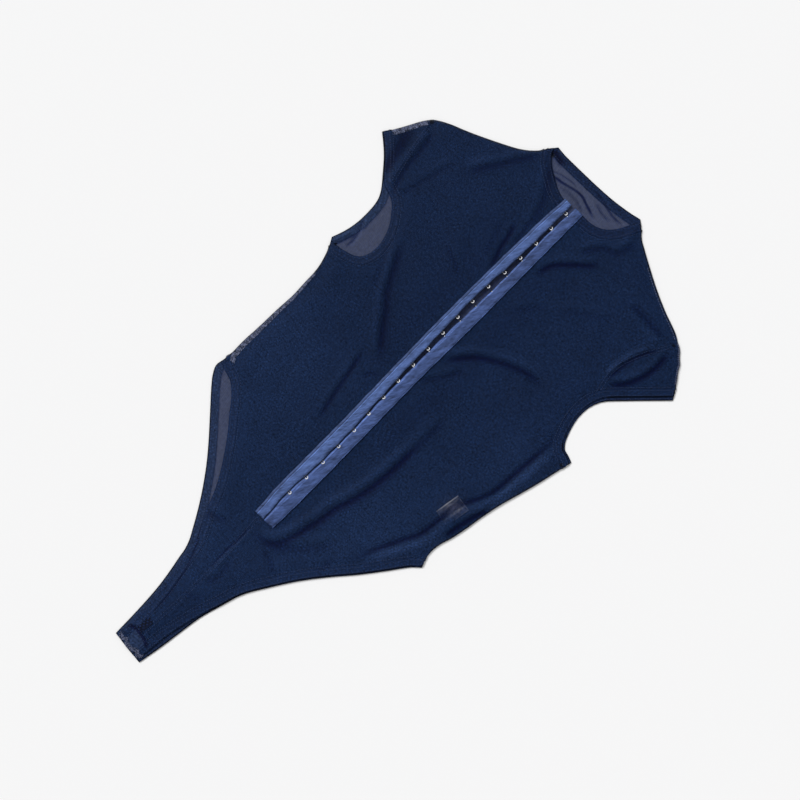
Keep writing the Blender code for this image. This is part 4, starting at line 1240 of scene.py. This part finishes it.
# Twisted thread with a little shine
twisted = {"rough": 0.45, "shine": 0.25, "Patches": 220.0, "Speckle": 1800.0, "Strength": 1.1}
navy_thread = uneven_finish("navy_thread", (0.026, 0.042, 0.105), **twisted)
for node in ("front_panel_right", "front_panel_left", "sleeve_left_front", "sleeve_right_front"):
    line = ring(inset(rounded(outlines[node]), SEAM_IN))
    stitches(
        node + "_seam_stitches", line, front_lay, SEAM_STITCH, navy_thread, keep=in_from_the_rim)
for node in bands:
    line = ring(inset(rounded(outlines[node], BIND_OUTLINE), BAND_IN))
    lay = back_lay if node in back_outlines else front_lay
    stitches(node + "_edge_stitches", line, lay, BAND_STITCH, navy_thread)
for tape in TAPES:
    ups = np.linspace(PLACKET_LOW + 2.0, PLACKET_HIGH - 2.0, 160)
    for name, column, off in (("outer", tape.outer, TAPE_OUTER_IN), ("inner", tape.inner, -TAPE_INNER_IN)):
        line = np.column_stack((tape_edge(column, ups) + tape.inward * off, ups))
        stitches(tape.node + "_" + name + "_stitches", line, tape_lay, TAPE_STITCH, navy_thread)
pale_thread = uneven_finish("pale_thread", (0.17, 0.185, 0.28), **twisted)


def on_left_shoulder(points):
    """Which points lie along the left shoulder's edge."""
    return (points[:, 0] > 112.0) & (points[:, 1] > 690.0) & (gaps(front_rim, points) < 4.5)


stitches(
    "shoulder_left_stitches", ring(inset(rounded(outlines["front_panel_left"]), SHOULDER_IN)), front_lay,
    SHOULDER_STITCH, pale_thread, keep=on_left_shoulder)

# The overlocked edges: the right side seam, both sleeves' top seams and the crotch end. Two crossing rows
# of pale looped thread run over a strip of tangled thread. Each row of the table gives the edge's line,
# how far the loops reach in from it at its two ends, and how much the strip covers.
LOOP_STITCH = Stitch(0.15, 2.6, 2.6, 0.2)
OVERLOCK_LIFT = BIND_HALF + 0.12
OVERLOCK_STEP = 1.5
# The rows of loops: how far in they run, as a share of the strip, and how they slant
LOOP_ROWS = ((0.35, -0.9), (0.7, 0.9))
Overlock = namedtuple("Overlock", "name line first last cover")
OVERLOCKS = (
    Overlock("sleeve_right_top", ((-217, 640), (-208, 661), (-198, 681)), 7.4, 6.4, 0.95),
    Overlock("side_right", ((-160, 315), (-160.5, 325), (-160, 340), (-159, 361), (-157.5, 396),
                            (-157, 430), (-160, 455)), 7.5, 3.2, 0.9),
    Overlock("crotch_end", ((14, 1.0), (-9, 1.5), (-32, 1.0)), 6.4, 5.8, 0.6),
    Overlock("sleeve_left_top", ((200, 690), (212, 679), (222, 665), (231, 652)), 2.4, 2.2, 0.42),
)


def overlock_net(name, cover):
    """The loops of an overlocked edge: pale tangled thread with gaps between."""
    material, tree, shader, chart = new_material(name, rough=0.6, shine=0.1)
    yarn = group_node(tree, uneven, chart, Patches=260.0, Speckle=700.0, Strength=3.4)
    factor = math_node(tree, "MAXIMUM", yarn.outputs["Factor"], 0.1)
    coloured(tree, shader, (0.070, 0.083, 0.140), factor)
    shown = math_node(tree, "MULTIPLY", yarn.outputs["Factor"], 0.8 * cover, clamp=True)
    tree.links.new(shown, shader.inputs["Alpha"])
    return material


def above_front(points):
    """Just above the front layer and its bindings."""
    return front_lay(points)[0] + OVERLOCK_LIFT, {}


for overlock in OVERLOCKS:
    line = curve_through(overlock.line, 2.0)
    rim_spots = np.array([front_rim.find((across, up, 0.0))[0][:2] for across, up in line])
    inward = np.column_stack((-np.gradient(line[:, 1]), np.gradient(line[:, 0])))
    inward /= np.hypot(*inward.T)[:, None]
    middle_way = np.array((0.0, 400.0)) - line
    inward *= np.sign((inward * middle_way).sum(axis=1))[:, None]
    reach = np.linspace(overlock.first, overlock.last, len(line))[:, None]
    strip = np.vstack((rim_spots + inward * 0.6, (rim_spots + inward * reach)[::-1]))
    if signed_area(strip) < 0:
        strip = strip[::-1]
    material = overlock_net(overlock.name + "_overlock_net", overlock.cover)
    piece = cloth(overlock.name + "_overlock", strip, above_front, OVERLOCK_STEP, material, front_rim)
    settled(piece, "band_navy")
    for number, (share, slant) in enumerate(LOOP_ROWS):
        stitches(
            f"{overlock.name}_overlock_loops_{number}", rim_spots + inward * reach * share, above_front,
            LOOP_STITCH, pale_thread, slant)
